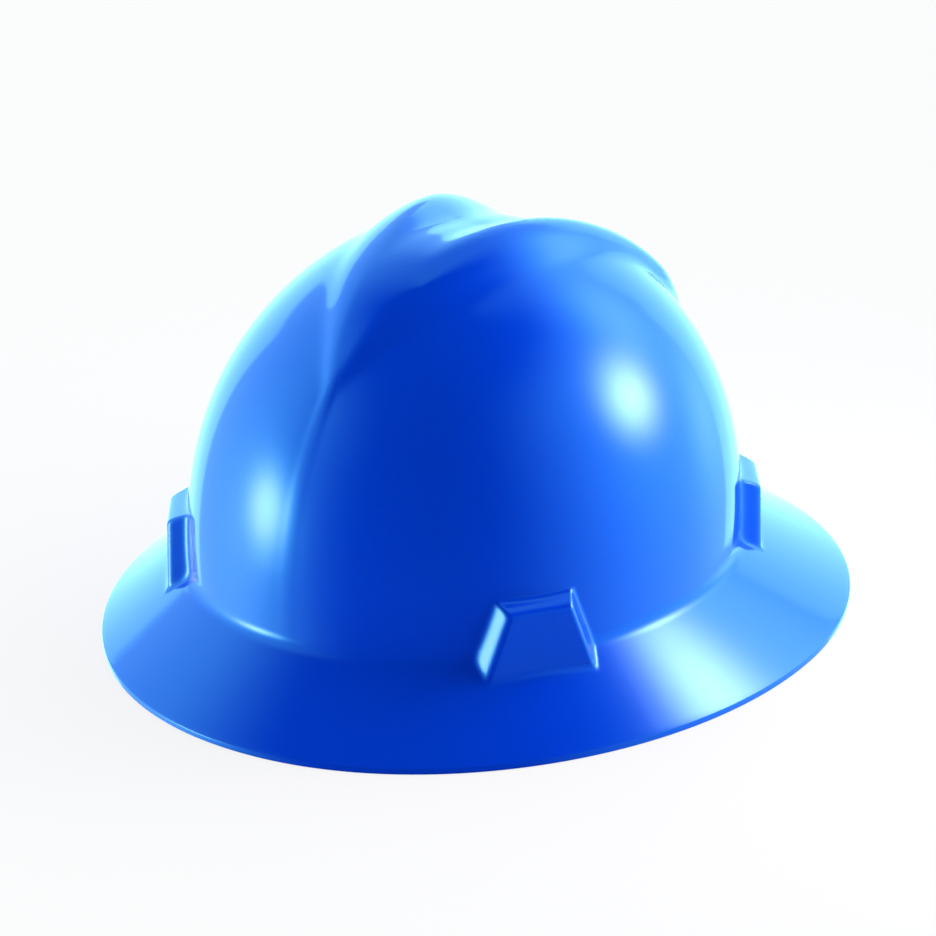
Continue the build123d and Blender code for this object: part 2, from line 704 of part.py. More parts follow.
def ratchet_housing():
    body = eyed_plate(HOUSING_HALF, HOUSING_HALF_HEIGHT, HOUSING_EYE_RADIUS, CAVITY_IN, HOUSING_OUT)
    outer_face = max(body.faces().filter_by(GeomType.CYLINDER), key=lambda face: face.area)
    body = fillet(outer_face.edges(), HOUSING_ROUND)
    half = NAPE_STRAP_HALF + FIT
    turn = HOUSING_HALF_ANGLE
    body -= arc_sector(CAVITY_IN - OVERRUN, CAVITY_OUT, -half, half, -turn, turn)
    ring_low = CAVITY_OUT + FIT
    ring_high = HOUSING_OUT + CLICK_DEPTH
    body += drum(CLICK_RING_RADIUS, ring_low, ring_high)
    body -= drum(CLICK_TOOTH_RADIUS, HOUSING_OUT - RUNNING, ring_high + OVERRUN)
    tip = CLICK_TOOTH_RADIUS - CLICK_TOOTH_HEIGHT
    half_tooth = CLICK_TOOTH_RADIUS * pi / CLICK_TEETH * CLICK_TOOTH_SHARE
    base = CLICK_TOOTH_RADIUS + FIT
    tooth = make_face(Polyline((base, -half_tooth), (tip, 0), (base, half_tooth), close=True))
    for count in range(CLICK_TEETH):
        turned = RATCHET * Rot(0, 0, 360 * count / CLICK_TEETH) * Pos(0, 0, HOUSING_OUT - FIT)
        body += turned * extrude(tooth, amount=CLICK_DEPTH + FIT)
    body -= drum(SHAFT_RADIUS + RUNNING, CAVITY_IN, ring_high)
    for place in screw_places():
        body -= RATCHET * place * Pos(0, 0, CAVITY_IN) * Cylinder(SCREW_RADIUS, 2 * SCREW_DEPTH)
    return at_nape(body)


def ratchet_cover():
    body = eyed_plate(
        HOUSING_HALF - FIT,
        HOUSING_HALF_HEIGHT - FIT,
        HOUSING_EYE_RADIUS - FIT,
        COVER_IN,
        COVER_OUT,
    )
    body -= drum(NUB_RADIUS + RUNNING, COVER_IN - OVERRUN, COVER_OUT + OVERRUN)
    for place in screw_places():
        body -= RATCHET * place * Pos(0, 0, COVER_IN) * Cylinder(SCREW_RADIUS + RUNNING, 4 * COVER_THICK)
        recess = Cylinder(SCREW_HEAD_RADIUS + RUNNING, 2 * SCREW_HEAD_THICK)
        body -= RATCHET * place * Pos(0, 0, COVER_IN) * recess
    return at_nape(body)


def cover_screws():
    screws = []
    for place in screw_places():
        top = RATCHET * place * Pos(0, 0, COVER_IN)
        low = (Align.CENTER, Align.CENTER, Align.MIN)
        screw = top * Cylinder(SCREW_HEAD_RADIUS, SCREW_HEAD_THICK - RUNNING, align=low)
        screw += top * Cylinder(SCREW_RADIUS - RUNNING, COVER_THICK + SCREW_DEPTH - FIT, align=low)
        arms = Rectangle(2 * SCREW_RADIUS, DRIVE_SLOT / 2) + Rectangle(DRIVE_SLOT / 2, 2 * SCREW_RADIUS)
        screw -= top * extrude(arms, amount=SCREW_HEAD_THICK / 2)
        screws.append(at_nape(screw))
    return Compound(children=screws)


def nape_pad():
    high = COVER_IN - FIT
    half_angle = degrees(NAPE_PAD_HALF / high)
    low = high - NAPE_PAD_THICK
    pad = arc_sector(low, high, -NAPE_PAD_HALF_HEIGHT, NAPE_PAD_HALF_HEIGHT, -half_angle, half_angle)
    return at_nape(chamfer(pad.edges(), NAPE_PAD_ROUND))


def drive_pinion():
    low = CAVITY_IN + FIT
    high = CAVITY_OUT - FIT
    gear = RATCHET * Pos(0, 0, low) * extrude(pinion_outline(), amount=high - low)
    gear += drum(NUB_RADIUS, COVER_IN + RUNNING, low + FIT)
    gear += drum(SHAFT_RADIUS, high - FIT, HOUSING_OUT)
    gear += hexagon(HEX_ACROSS, HOUSING_OUT - FIT, KNOB_CEILING - RUNNING)
    gear -= drum(KNOB_SCREW_RADIUS, KNOB_HIGH - KNOB_SCREW_LENGTH, KNOB_CEILING)
    return at_nape(gear)


def click_spring():
    """Plate on the pinion's hexagon with three bent arms whose tips click past the teeth."""
    nub_place = CLICK_TOOTH_RADIUS - CLICK_TOOTH_HEIGHT - FIT - CLICK_NUB_RADIUS
    arm_ring = Circle(nub_place + CLICK_ARM_WIDTH / 2) - Circle(nub_place - CLICK_ARM_WIDTH / 2)
    size = 2 * CLICK_TOOTH_RADIUS
    turn = radians(CLICK_ARM_ANGLE)
    far = (size * cos(turn), size * sin(turn))
    middle = (size * cos(turn / 2), size * sin(turn / 2))
    arm = arm_ring & make_face(Polyline((0, 0), (size, 0), middle, far, close=True))
    arm += Pos(nub_place / 2, CLICK_ARM_WIDTH / 2) * Rectangle(nub_place, CLICK_ARM_WIDTH)
    arm += Pos(nub_place * cos(turn), nub_place * sin(turn)) * Circle(CLICK_NUB_RADIUS)
    plate = Circle(HUB_RADIUS)
    for count in range(3):
        plate += Rot(0, 0, 120 * count) * arm
    plate -= RegularPolygon(HEX_ACROSS / 2 + RUNNING, 6, major_radius=False)
    return at_nape(RATCHET * Pos(0, 0, SPRING_LOW) * extrude(plate, amount=CLICK_SPRING_THICK))


def ratchet_knob():
    knob = drum(KNOB_RADIUS, KNOB_LOW, KNOB_HIGH)
    outer_rim = knob.edges().sort_by(Axis.Y)[-1:]
    knob = fillet(outer_rim, GRIP_MARGIN / 2)
    knob -= drum(KNOB_RADIUS - KNOB_WALL, KNOB_LOW - OVERRUN, KNOB_CEILING)
    knob += drum(HUB_RADIUS, SPRING_HIGH + FIT, KNOB_CEILING + FIT)
    for count in range(GRIP_LANDS // 2):
        spoke = Pos(KNOB_RADIUS / 2, 0, 0) * Box(KNOB_RADIUS - KNOB_WALL, KNOB_WALL, KNOB_FACE)
        knob += RATCHET * Pos(0, 0, KNOB_CEILING) * Rot(0, 0, 720 * count / GRIP_LANDS) * spoke
    knob -= hexagon(HEX_ACROSS + 2 * RUNNING, KNOB_LOW, KNOB_CEILING)
    knob -= drum(KNOB_SCREW_RADIUS + RUNNING, KNOB_LOW, KNOB_HIGH + OVERRUN)
    head_low = KNOB_HIGH - KNOB_SCREW_HEAD_THICK
    knob -= drum(KNOB_SCREW_HEAD_RADIUS + RUNNING, head_low - RUNNING, KNOB_HIGH + OVERRUN)
    return at_nape(knob)


def knob_grip():
    low = KNOB_LOW + GRIP_MARGIN
    high = KNOB_HIGH - GRIP_MARGIN
    grip = drum(GRIP_RADIUS, low, high)
    grip = chamfer(grip.edges().filter_by(GeomType.CIRCLE), GRIP_MARGIN / 2)
    for count in range(GRIP_LANDS):
        place = Rot(0, 0, 360 * count / GRIP_LANDS) * Pos(GRIP_RADIUS + GRIP_SCALLOP_RADIUS / 2, 0, 0)
        scallop = Cylinder(GRIP_SCALLOP_RADIUS, 3 * KNOB_DEPTH)
        grip -= RATCHET * Pos(0, 0, low) * place * scallop
    return at_nape(grip - drum(KNOB_RADIUS + RUNNING, low - OVERRUN, high + OVERRUN))


def knob_screw():
    head_low = KNOB_HIGH - KNOB_SCREW_HEAD_THICK
    screw = drum(KNOB_SCREW_HEAD_RADIUS, head_low, KNOB_HIGH)
    screw += drum(KNOB_SCREW_RADIUS - RUNNING, KNOB_HIGH - KNOB_SCREW_LENGTH + FIT, head_low + FIT)
    reach = 2 * KNOB_SCREW_HEAD_RADIUS * DRIVE_REACH_SHARE
    cross = Rectangle(reach, DRIVE_SLOT) + Rectangle(DRIVE_SLOT, reach)
    depth = KNOB_SCREW_HEAD_THICK / 2
    screw -= RATCHET * Pos(0, 0, KNOB_HIGH - depth) * extrude(cross, amount=depth)
    return at_nape(screw)


def nape_strap(side):
    """Flexible strip from its rivet round the back of the head to the end of its rack."""
    out = BAND_HALF_WIDTH + BAND_THICK / 2 + FIT + RACK_THICK / 2
    start = (side * out, PIVOT_Y - NAPE_STRAP_END)
    turn = radians(NAPE_STRAP_TURN)
    normal = Vector(cos(turn) / BAND_HALF_WIDTH, sin(turn) / BAND_HALF_LENGTH, 0).normalized()
    middle_x = BAND_HALF_WIDTH * cos(turn) + normal.X * NAPE_STRAP_OUT
    middle_y = BAND_Y + BAND_HALF_LENGTH * sin(turn) + normal.Y * NAPE_STRAP_OUT
    radius = rack_radius(side)
    end_turn = radians(arc_angle(RACK_REACH + RUNNING, side))
    end = (side * radius * sin(end_turn), ARC_Y + radius * cos(end_turn))
    leave = (-side * cos(end_turn), sin(end_turn))
    path = Spline(start, (side * middle_x, middle_y), end, tangents=[(0, 1), leave])
    section_plane = Plane(origin=(*start, 0), x_dir=(1, 0, 0), z_dir=(0, 1, 0))
    section = section_plane * Rectangle(RACK_THICK, 2 * NAPE_STRAP_HALF)
    strap = sweep(section, path=path)
    front = strap.faces().sort_by(Axis.Y)[0]
    corners = [edge for edge in front.edges() if edge.length < 2 * RACK_THICK]
    strap = at_nape(fillet(corners, NAPE_STRAP_END - RIVET_RADIUS / 2))
    return strap - pivot_hole(RIVET_RADIUS + RUNNING)


def pivot_rivet(side):
    """Rivet that joins the headband and a nape strap and lets the strap swing."""
    edge_run = (PIVOT_Y + RIVET_HEAD_RADIUS - BAND_Y) / BAND_HALF_LENGTH
    inner = BAND_HALF_WIDTH * sqrt(1 - edge_run**2) - BAND_THICK / 2 - RUNNING
    outer = BAND_HALF_WIDTH + BAND_THICK / 2 + FIT + RACK_THICK + RUNNING
    low = (Align.CENTER, Align.CENTER, Align.MIN)
    axis = Plane(origin=(0, PIVOT_Y, NAPE_Z), x_dir=(0, 1, 0), z_dir=(side, 0, 0))
    rivet = axis * Pos(0, 0, inner) * Cylinder(RIVET_RADIUS - RUNNING, outer - inner, align=low)
    inner_head = axis * Pos(0, 0, inner - RIVET_HEAD_THICK / 2)
    rivet += inner_head * Cylinder(RIVET_HEAD_RADIUS, RIVET_HEAD_THICK / 2, align=low)
    head = axis * Pos(0, 0, outer) * Cylinder(RIVET_HEAD_RADIUS, RIVET_HEAD_THICK, align=low)
    top = head.edges().sort_by(lambda edge: abs(edge.center().X))[-1:]
    return rivet + fillet(top, RIVET_HEAD_THICK / 2)


def main():
    os.makedirs("parts", exist_ok=True)
    pieces = {
        "shell": moulded_shell(),
        "crown_strap_lower": crown_strap(-LUG_ANGLE, 0),
        "crown_strap_upper": crown_strap(LUG_ANGLE, crossing_lift()),
        "headband": headband(),
        "brow_pad": brow_pad(),
        "left_nape_strap": nape_strap(1),
        "right_nape_strap": nape_strap(-1),
        "left_rack": rack(1),
        "right_rack": rack(-1),
        "left_pivot_rivet": pivot_rivet(1),
        "right_pivot_rivet": pivot_rivet(-1),
        "ratchet_housing": ratchet_housing(),
        "ratchet_cover": ratchet_cover(),
        "cover_screws": cover_screws(),
        "nape_pad": nape_pad(),
        "drive_pinion": drive_pinion(),
        "click_spring": click_spring(),
        "ratchet_knob": ratchet_knob(),
        "knob_grip": knob_grip(),
        "knob_screw": knob_screw(),
    }
    for name, turn in KEY_TURNS.items():
        pieces[name + "_key"] = suspension_key(turn)
    for name, piece in pieces.items():
        export_step(piece, f"parts/{name}.step")


main()
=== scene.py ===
# %% [markdown]
# # Full brim hard hat
# This lesson dresses a finished construction model of a full brim hard hat. The frame holds
# every rigid piece at its real size. Here the glossy shell gets its smooth moulded skin, the
# soft and woven parts are made as what they are, and each surface gets a material of its own.

# %% Load the frame
from math import asin, cos, degrees, hypot, pi, radians, sin, tan

import bmesh
import bpy
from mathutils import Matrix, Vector


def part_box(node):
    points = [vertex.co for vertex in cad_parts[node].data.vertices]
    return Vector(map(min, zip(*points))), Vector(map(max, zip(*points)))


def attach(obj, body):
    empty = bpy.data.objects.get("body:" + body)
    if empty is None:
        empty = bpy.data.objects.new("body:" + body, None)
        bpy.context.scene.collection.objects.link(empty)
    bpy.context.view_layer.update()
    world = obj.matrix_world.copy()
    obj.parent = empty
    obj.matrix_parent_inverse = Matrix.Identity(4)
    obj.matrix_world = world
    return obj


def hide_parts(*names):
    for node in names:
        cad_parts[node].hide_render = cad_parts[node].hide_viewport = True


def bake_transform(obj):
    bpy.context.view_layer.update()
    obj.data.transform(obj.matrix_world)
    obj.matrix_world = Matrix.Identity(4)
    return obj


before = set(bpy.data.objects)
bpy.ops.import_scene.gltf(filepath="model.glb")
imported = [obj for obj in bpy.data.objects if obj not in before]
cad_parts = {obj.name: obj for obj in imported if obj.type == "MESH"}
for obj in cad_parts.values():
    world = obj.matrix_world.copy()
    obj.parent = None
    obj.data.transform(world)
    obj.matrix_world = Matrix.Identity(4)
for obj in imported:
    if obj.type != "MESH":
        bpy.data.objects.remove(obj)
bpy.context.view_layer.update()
MM = 0.001

# %% [markdown]
# ## The camera
# The photo looks a little down on the hat from its front left side with a long lens, so the
# outline hardly tapers. A camera is placed by an angle round the hat, an angle above the floor
# and a distance, and aimed at the middle of the hat. Its shift moves the picture on the sensor,
# because the photo was cropped a little off centre.

# %% Place the camera
CAMERA_AZIMUTH = radians(33.85)
CAMERA_ELEVATION = radians(22.4)
CAMERA_DISTANCE = 1.469
CAMERA_AIM = Vector((0, 0, 61.9 * MM))
LENS = 141.46
SHIFT = (-0.0077, -0.0147)
CLIP_START = 0.05


def direction(azimuth, elevation):
    """Unit vector towards a place round the hat. Azimuth 0 is the front, 90 the wearer's left."""
    level = cos(elevation)
    return Vector((sin(azimuth) * level, -cos(azimuth) * level, sin(elevation)))


def make_camera():
    data = bpy.data.cameras.new("camera")
    data.lens = LENS
    data.shift_x, data.shift_y = SHIFT
    data.clip_start = CLIP_START
    camera = bpy.data.objects.new("camera", data)
    bpy.context.scene.collection.objects.link(camera)
    towards = direction(CAMERA_AZIMUTH, CAMERA_ELEVATION)
    camera.location = CAMERA_AIM + towards * CAMERA_DISTANCE
    camera.rotation_euler = (-towards).to_track_quat("-Z", "Y").to_euler()
    bpy.context.scene.camera = camera


make_camera()
bpy.context.scene.view_settings.view_transform = "Standard"
print("camera lens:", LENS, "mm")

# %% [markdown]
# ## Helpers for nodes and meshes
# Materials, the studio and several pieces are node trees. One helper adds a node, sets its
# properties and fills its inputs with values or links. A second helper is a number that flows
# through a tree: it adds and multiplies as a plain number does and leaves a Math node behind
# each time, so that a long formula can be read as a formula. A few more helpers split or
# measure a vector, tell kinds of rays apart, keep a mesh, link it into the scene and run a
# geometry tree on it.


# %% Helpers
def add_node(tree, kind, inputs=None, **settings):
    """Adds a node with its settings. An input is a value, or a socket to link."""
    node = tree.nodes.new(kind)
    for name, value in settings.items():
        setattr(node, name, value)
    for name, value in (inputs or {}).items():
        if isinstance(value, bpy.types.NodeSocket):
            tree.links.new(value, node.inputs[name])
        else:
            node.inputs[name].default_value = value
    return node


class Term:
    """A number on its way through a node tree."""

    def __init__(self, tree, socket):
        self.tree = tree
        self.socket = socket

    def apply(self, operation, *others):
        values = [other.socket if isinstance(other, Term) else other for other in others]
        inputs = dict(enumerate([self.socket, *values]))
        node = add_node(self.tree, "ShaderNodeMath", inputs, operation=operation)
        return Term(self.tree, node.outputs[0])

    def __add__(self, other):
        return self.apply("ADD", other)

    def __sub__(self, other):
        return self.apply("SUBTRACT", other)

    def __rsub__(self, other):
        return self.apply("MULTIPLY_ADD", -1.0, other)

    def __mul__(self, other):
        return self.apply("MULTIPLY", other)

    def __truediv__(self, other):
        return self.apply("DIVIDE", other)

    def __rtruediv__(self, other):
        return self.apply("POWER", -1.0) * other

    def __pow__(self, other):
        return self.apply("POWER", other)

    def __abs__(self):
        return self.apply("ABSOLUTE")

    def clamped(self, low=0.0, high=1.0):
        return self.apply("MAXIMUM", low).apply("MINIMUM", high)

    def eased(self):
        share = self.clamped()
        return share * share * (3 - share * 2)

    __radd__ = __add__
    __rmul__ = __mul__


def split(tree, vector):
    """The x, y and z of a vector socket."""
    parts = add_node(tree, "ShaderNodeSeparateXYZ", {0: vector})
    return [Term(tree, socket) for socket in parts.outputs]


def length_of(*parts):
    """Length of a vector, given by its parts."""
    total = parts[0] * parts[0]
    for part in parts[1:]:
        total = total + part * part
    return total.apply("SQRT")


def ray_is(tree, kind):
    """1 for a kind of ray, such as Camera or Glossy, and 0 for the others."""
    path = add_node(tree, "ShaderNodeLightPath")
    return Term(tree, path.outputs["Is " + kind + " Ray"])


def linear_part(part):
    """One channel of an sRGB colour, from 0 to 1, as linear light."""
    return part / 12.92 if part <= 0.04045 else ((part + 0.055) / 1.055) ** 2.4


def linear_colour(code):
    """Turns an sRGB hex code such as 1450FF into the linear colour that nodes use."""
    parts = [int(code[place:place + 2], 16) / 255 for place in (0, 2, 4)]
    return (*map(linear_part, parts), 1.0)


def mix_colours(tree, share, first, second):
    """A colour between two sRGB codes, by a share from 0 to 1."""
    mix = add_node(tree, "ShaderNodeMix", {0: share}, data_type="RGBA")
    mix.inputs[6].default_value = linear_colour(first)
    mix.inputs[7].default_value = linear_colour(second)
    return mix.outputs[2]


def empty_tree(holder):
    """The node tree of a material or world, switched on and cleared."""
    holder.use_nodes = True
    holder.node_tree.nodes.clear()
    return holder.node_tree


def keep_shape(name, shape):
    """Turns a bmesh into a mesh."""
    mesh = bpy.data.meshes.new(name)
    shape.to_mesh(mesh)
    shape.free()
    return mesh


def link_piece(name, mesh, material=None):
    """Puts a mesh into the scene as an object, in a material if one is given."""
    if material:
        mesh.materials.append(material)
    piece = bpy.data.objects.new(name, mesh)
    bpy.context.scene.collection.objects.link(piece)
    return piece


def bake(piece, modifier):
    """Keeps what a modifier shows as the piece's own plain mesh."""
    shown = piece.evaluated_get(bpy.context.evaluated_depsgraph_get())
    mesh = bpy.data.meshes.new_from_object(shown)
    piece.modifiers.remove(modifier)
    piece.data = mesh


def grow(name, tree, sizes, base=None):
    """Runs a geometry tree on a mesh, or an empty one, and keeps the result as a plain mesh."""
    piece = link_piece(name, base or bpy.data.meshes.new(name))
    modifier = piece.modifiers.new("grow", "NODES")
    modifier.node_group = tree
    sockets = [item for item in tree.interface.items_tree if item.item_type == "SOCKET"]
    for item in sockets:
        if item.in_out == "INPUT" and item.name in sizes:
            modifier[item.identifier] = sizes[item.name]
    bake(piece, modifier)
    piece.data.name = name
    print(name + ":", len(piece.data.polygons), "faces")
    return piece


def new_geometry_tree(name, sizes, takes_geometry=False):
    """A geometry tree with one named input for each size. Returns the tree and its inputs."""
    tree = bpy.data.node_groups.new(name, "GeometryNodeTree")
    tree.interface.new_socket("Geometry", in_out="OUTPUT", socket_type="NodeSocketGeometry")
    if takes_geometry:
        tree.interface.new_socket("Geometry", in_out="INPUT", socket_type="NodeSocketGeometry")
    for title, value in sizes.items():
        kind = "NodeSocketInt" if isinstance(value, int) else "NodeSocketFloat"
        tree.interface.new_socket(title, in_out="INPUT", socket_type=kind)
    source = add_node(tree, "NodeGroupInput")
    inputs = {title: Term(tree, source.outputs[title]) for title in sizes}
    if takes_geometry:
        inputs["Geometry"] = source.outputs["Geometry"]
    return tree, inputs


def hand_over(tree, geometry, material):
    """Realizes, smooths and paints a tree's geometry and sends it out."""
    real = add_node(tree, "GeometryNodeRealizeInstances", {0: geometry})
    smooth = add_node(tree, "GeometryNodeSetShadeSmooth", {0: real.outputs[0]})
    painted = add_node(tree, "GeometryNodeSetMaterial", {0: smooth.outputs[0]})
    painted.inputs["Material"].default_value = material
    add_node(tree, "NodeGroupOutput", {0: painted.outputs[0]})


# %% [markdown]
# ## The studio
# The photo has a pure white ground. The blue gloss shows what stood round the hat: a low white
# wall round its right rear side and a taller one straight behind it, whose upright edges end
# the pale zones on the dome and the brim, a pale room to both sides with a few soft glows, and
# a dim front, so that the middle stays deep blue. A world shader can hold the room by
# direction, without walls that would hide the hat from other sides. The camera sees the room
# as plain white. In reflections its light is tinted, and turns white where it is brightest, as
# in the photo. Diffuse light stays untinted, so that greys stay grey.

# %% Light the studio
WHITE = "FFFFFF"
LIGHT_COLOUR = "AAF9FF"
TINTED_LEVEL = 2.5
WHITE_LEVEL = 9.0
DARK_AZIMUTH = 30.0
DARK_HALF_ANGLE = 25.0
DARK_FADE = 80.0
FRONT_LEVEL = 0.04
SIDE_LEVEL = 1.5
SIDE_TOP = 35.0
SIDE_TOP_FADE = 30.0
OVERHEAD_LEVEL = 0.75
OVERHEAD_START = 100.0
OVERHEAD_FADE = 50.0
WALLS = (
    {"azimuth": -146.0, "half": 41.5, "top": 16.0, "fade": 4.0, "level": 2.7},
    {"azimuth": -169.0, "half": 15.5, "top": 30.0, "fade": 10.0, "level": 2.7},
)
WALL_EDGE = 1.5
GLOWS = (
    {"azimuth": 130.0, "elevation": 15.0, "width": 20.0, "height": 20.0, "level": 1.0},
    {"azimuth": 160.0, "elevation": 32.0, "width": 12.0, "height": 12.0, "level": 2.0},
    {"azimuth": 162.0, "elevation": -3.0, "width": 10.0, "height": 9.0, "level": 1.3},
    {"azimuth": -60.0, "elevation": -5.0, "width": 20.0, "height": 22.0, "level": 2.0},
    {"azimuth": -49.0, "elevation": 2.0, "width": 9.0, "height": 8.0, "level": 8.0},
)


def bearing(x, y, azimuth):
    """Degrees round the hat from an azimuth to the direction with a level part x and y."""
    turn = radians(azimuth)
    ahead = x * sin(turn) - y * cos(turn)
    beside = x * cos(turn) + y * sin(turn)
    return beside.apply("ARCTAN2", ahead) * degrees(1)


def past(value, limit, fade):
    """Rises softly from 0 to 1 where a number passes a limit."""
    return ((value - limit) / fade + 0.5).eased()


def room_level(x, y, height):
    """Brightness of the room by direction: dim front, sides, overhead, walls and glows."""
    off_front = abs(bearing(x, y, DARK_AZIMUTH))
    beside = ((off_front - DARK_HALF_ANGLE) / DARK_FADE).eased()
    high = ((height - SIDE_TOP) / SIDE_TOP_FADE).eased()
    overhead = ((off_front - OVERHEAD_START) / OVERHEAD_FADE).eased() * OVERHEAD_LEVEL
    level = beside * SIDE_LEVEL * (1 - high) + overhead * high + FRONT_LEVEL
    for glow in GLOWS:
        across = bearing(x, y, glow["azimuth"]) / glow["width"]
        upward = (height - glow["elevation"]) / glow["height"]
        bell = ((across * across + upward * upward) * -0.5).apply("EXPONENT")
        level = level + bell * glow["level"]
    for wall in WALLS:
        inside = 1 - past(abs(bearing(x, y, wall["azimuth"])), wall["half"], WALL_EDGE)
        below = 1 - past(height, wall["top"], wall["fade"])
        level = level + (wall["level"] - level) * inside * below
    return level


def make_world():
    world = bpy.data.worlds.new("studio")
    tree = empty_tree(world)
    look = add_node(tree, "ShaderNodeTexCoord")
    x, y, z = split(tree, look.outputs["Generated"])
    level = room_level(x, y, z.apply("ARCSINE") * degrees(1))
    camera = ray_is(tree, "Camera")
    shown = level + (1 - level) * camera
    plain = camera.apply("MAXIMUM", ray_is(tree, "Diffuse"))
    white = ((level - TINTED_LEVEL) / (WHITE_LEVEL - TINTED_LEVEL)).clamped()
    white = white.apply("MAXIMUM", plain)
    tint = mix_colours(tree, white.socket, LIGHT_COLOUR, WHITE)
    sky = {"Color": tint, "Strength": shown.socket}
    background = add_node(tree, "ShaderNodeBackground", sky)
    add_node(tree, "ShaderNodeOutputWorld", {"Surface": background.outputs[0]})
    bpy.context.scene.world = world


make_world()

# %% [markdown]
# ## The lamp
# The bright spot on the dome and the pale fan on the brim are the same lamp: their reflections
# meet a quarter of a metre from the hat, high on its left rear side. A sky that is endlessly far
# away can't put both in place, so the lamp is a round panel at that spot. Its light falls off
# from the middle as in a soft box, and the camera looks through it. In reflections it has a
# little less green, which makes up for the tint that the shell's gloss gives them.

# %% Hang the lamp
LAMP_PLACE = Vector((249 * MM, 130 * MM, 204 * MM))
LAMP_TARGET = Vector((95 * MM, -25 * MM, 60 * MM))
LAMP_BELL = 41 * MM
LAMP_RADIUS = 3.6 * LAMP_BELL
LAMP_CORNERS = 48
LAMP_LEVEL = 15.0
LAMP_COLOUR = "FFE0FF"


def make_lamp():
    material = bpy.data.materials.new("soft_box_light")
    tree = empty_tree(material)
    look = add_node(tree, "ShaderNodeTexCoord")
    middle = add_node(
        tree,
        "ShaderNodeVectorMath",
        {0: look.outputs["Object"], 1: LAMP_PLACE},
        operation="DISTANCE",
    )
    off = Term(tree, middle.outputs["Value"]) / LAMP_BELL
    unseen = 1 - ray_is(tree, "Camera")
    strength = (off * off * -0.5).apply("EXPONENT") * LAMP_LEVEL * unseen
    tint = mix_colours(tree, ray_is(tree, "Diffuse").socket, LAMP_COLOUR, WHITE)
    glow = {"Color": tint, "Strength": strength.socket}
    light = add_node(tree, "ShaderNodeEmission", glow)
    clear = add_node(tree, "ShaderNodeBsdfTransparent")
    both = add_node(tree, "ShaderNodeAddShader", {0: light.outputs[0], 1: clear.outputs[0]})
    add_node(tree, "ShaderNodeOutputMaterial", {"Surface": both.outputs[0]})
    facing = (LAMP_TARGET - LAMP_PLACE).normalized()
    side = facing.orthogonal().normalized()
    upward = facing.cross(side)
    rim = [
        LAMP_PLACE + (side * cos(turn) + upward * sin(turn)) * LAMP_RADIUS
        for turn in (2 * pi * step / LAMP_CORNERS for step in range(LAMP_CORNERS))
    ]
    mesh = bpy.data.meshes.new("lamp_panel")
    mesh.from_pydata(rim, [], [tuple(range(LAMP_CORNERS))])
    panel = link_piece("lamp_panel", mesh, material)


make_lamp()

# %% [markdown]
# ## The floor
# The hat stands on its rim, so the floor lies at height zero. It is plain white. Its material
# mixes a lit surface, which keeps the hat's soft shadow, with a plain white one for the camera,
# so that the ground stays as pale as the photo's. It is clear to reflections, which see the
# room instead, and clear from below, so that the hat can be looked at from underneath.

# %% Lay the floor
FLOOR_HALF = 9.0
FLOOR_WHITE_SHARE = 0.8
FLOOR_COLOUR = "F8F8F8"


def make_floor():
    material = bpy.data.materials.new("white_studio_floor")
    tree = empty_tree(material)
    lit = add_node(tree, "ShaderNodeBsdfDiffuse", {"Color": linear_colour(FLOOR_COLOUR)})
    white = add_node(tree, "ShaderNodeEmission", {"Strength": 1.0})
    clear = add_node(tree, "ShaderNodeBsdfTransparent")
    side = add_node(tree, "ShaderNodeNewGeometry")
    seen = ray_is(tree, "Camera").apply("MAXIMUM", ray_is(tree, "Transmission"))
    share = seen * FLOOR_WHITE_SHARE
    ground = add_node(
        tree, "ShaderNodeMixShader", {0: share.socket, 1: lit.outputs[0], 2: white.outputs[0]}
    )
    under = Term(tree, side.outputs["Backfacing"])
    passing = ray_is(tree, "Glossy").apply("MAXIMUM", under)
    surface = add_node(
        tree,
        "ShaderNodeMixShader",
        {0: passing.socket, 1: ground.outputs[0], 2: clear.outputs[0]},
    )
    add_node(tree, "ShaderNodeOutputMaterial", {"Surface": surface.outputs[0]})
    mesh = bpy.data.meshes.new("floor")
    signs = ((-1, -1), (1, -1), (1, 1), (-1, 1))
    corners = [(x * FLOOR_HALF, y * FLOOR_HALF, 0) for x, y in signs]
    mesh.from_pydata(corners, [], [(0, 1, 2, 3)])
    floor = link_piece("floor", mesh, material)


make_floor()

# %% [markdown]
# ## The shell's plastic
# Hard hat shells are injection moulded in high-density polyethylene. The pigment runs through
# the plastic and the polished mould leaves a glossy skin, so the colour is even and the
# reflections are clear, with only a faint waviness where the thick wall shrank as it cooled.
# One Principled shader does this: a saturated blue, a low roughness, and a very shallow bump.

# %% Gloss plastic for the shell
SHELL_BLUES = ("0045F0", "0048F4")
SHELL_TINT = "98F0FF"
SHELL_ROUGHNESS = 0.07
SHELL_IOR = 1.8
SHELL_CLOUD = 60 * MM
SHELL_WAVE = 18 * MM
SHELL_WAVE_DEPTH = 0.4 * MM
SHELL_WAVE_STRENGTH = 0.05


def new_material(name):
    """A material with one Principled shader. Returns the material, its tree and the shader."""
    material = bpy.data.materials.new(name)
    tree = empty_tree(material)
    shader = add_node(tree, "ShaderNodeBsdfPrincipled")
    add_node(tree, "ShaderNodeOutputMaterial", {"Surface": shader.outputs[0]})
    return material, tree, shader


def connect(tree, links):
    """Joins pairs of an output socket and an input socket."""
    for start, end in links:
        tree.links.new(start, end)


def noise(tree, place, size, detail=2.0):
    """Soft random shades in patches of a size in metres."""
    inputs = {"Vector": place, "Scale": 1 / size, "Detail": detail}
    return add_node(tree, "ShaderNodeTexNoise", inputs).outputs[0]


def dress(tree, shader, colour, height, strength, depth):
    """Gives a shader its colour and a bump with a depth in metres."""
    inputs = {"Height": height, "Strength": strength, "Distance": depth}
    bump = add_node(tree, "ShaderNodeBump", inputs).outputs[0]
    connect(tree, [(colour, shader.inputs["Base Color"]), (bump, shader.inputs["Normal"])])


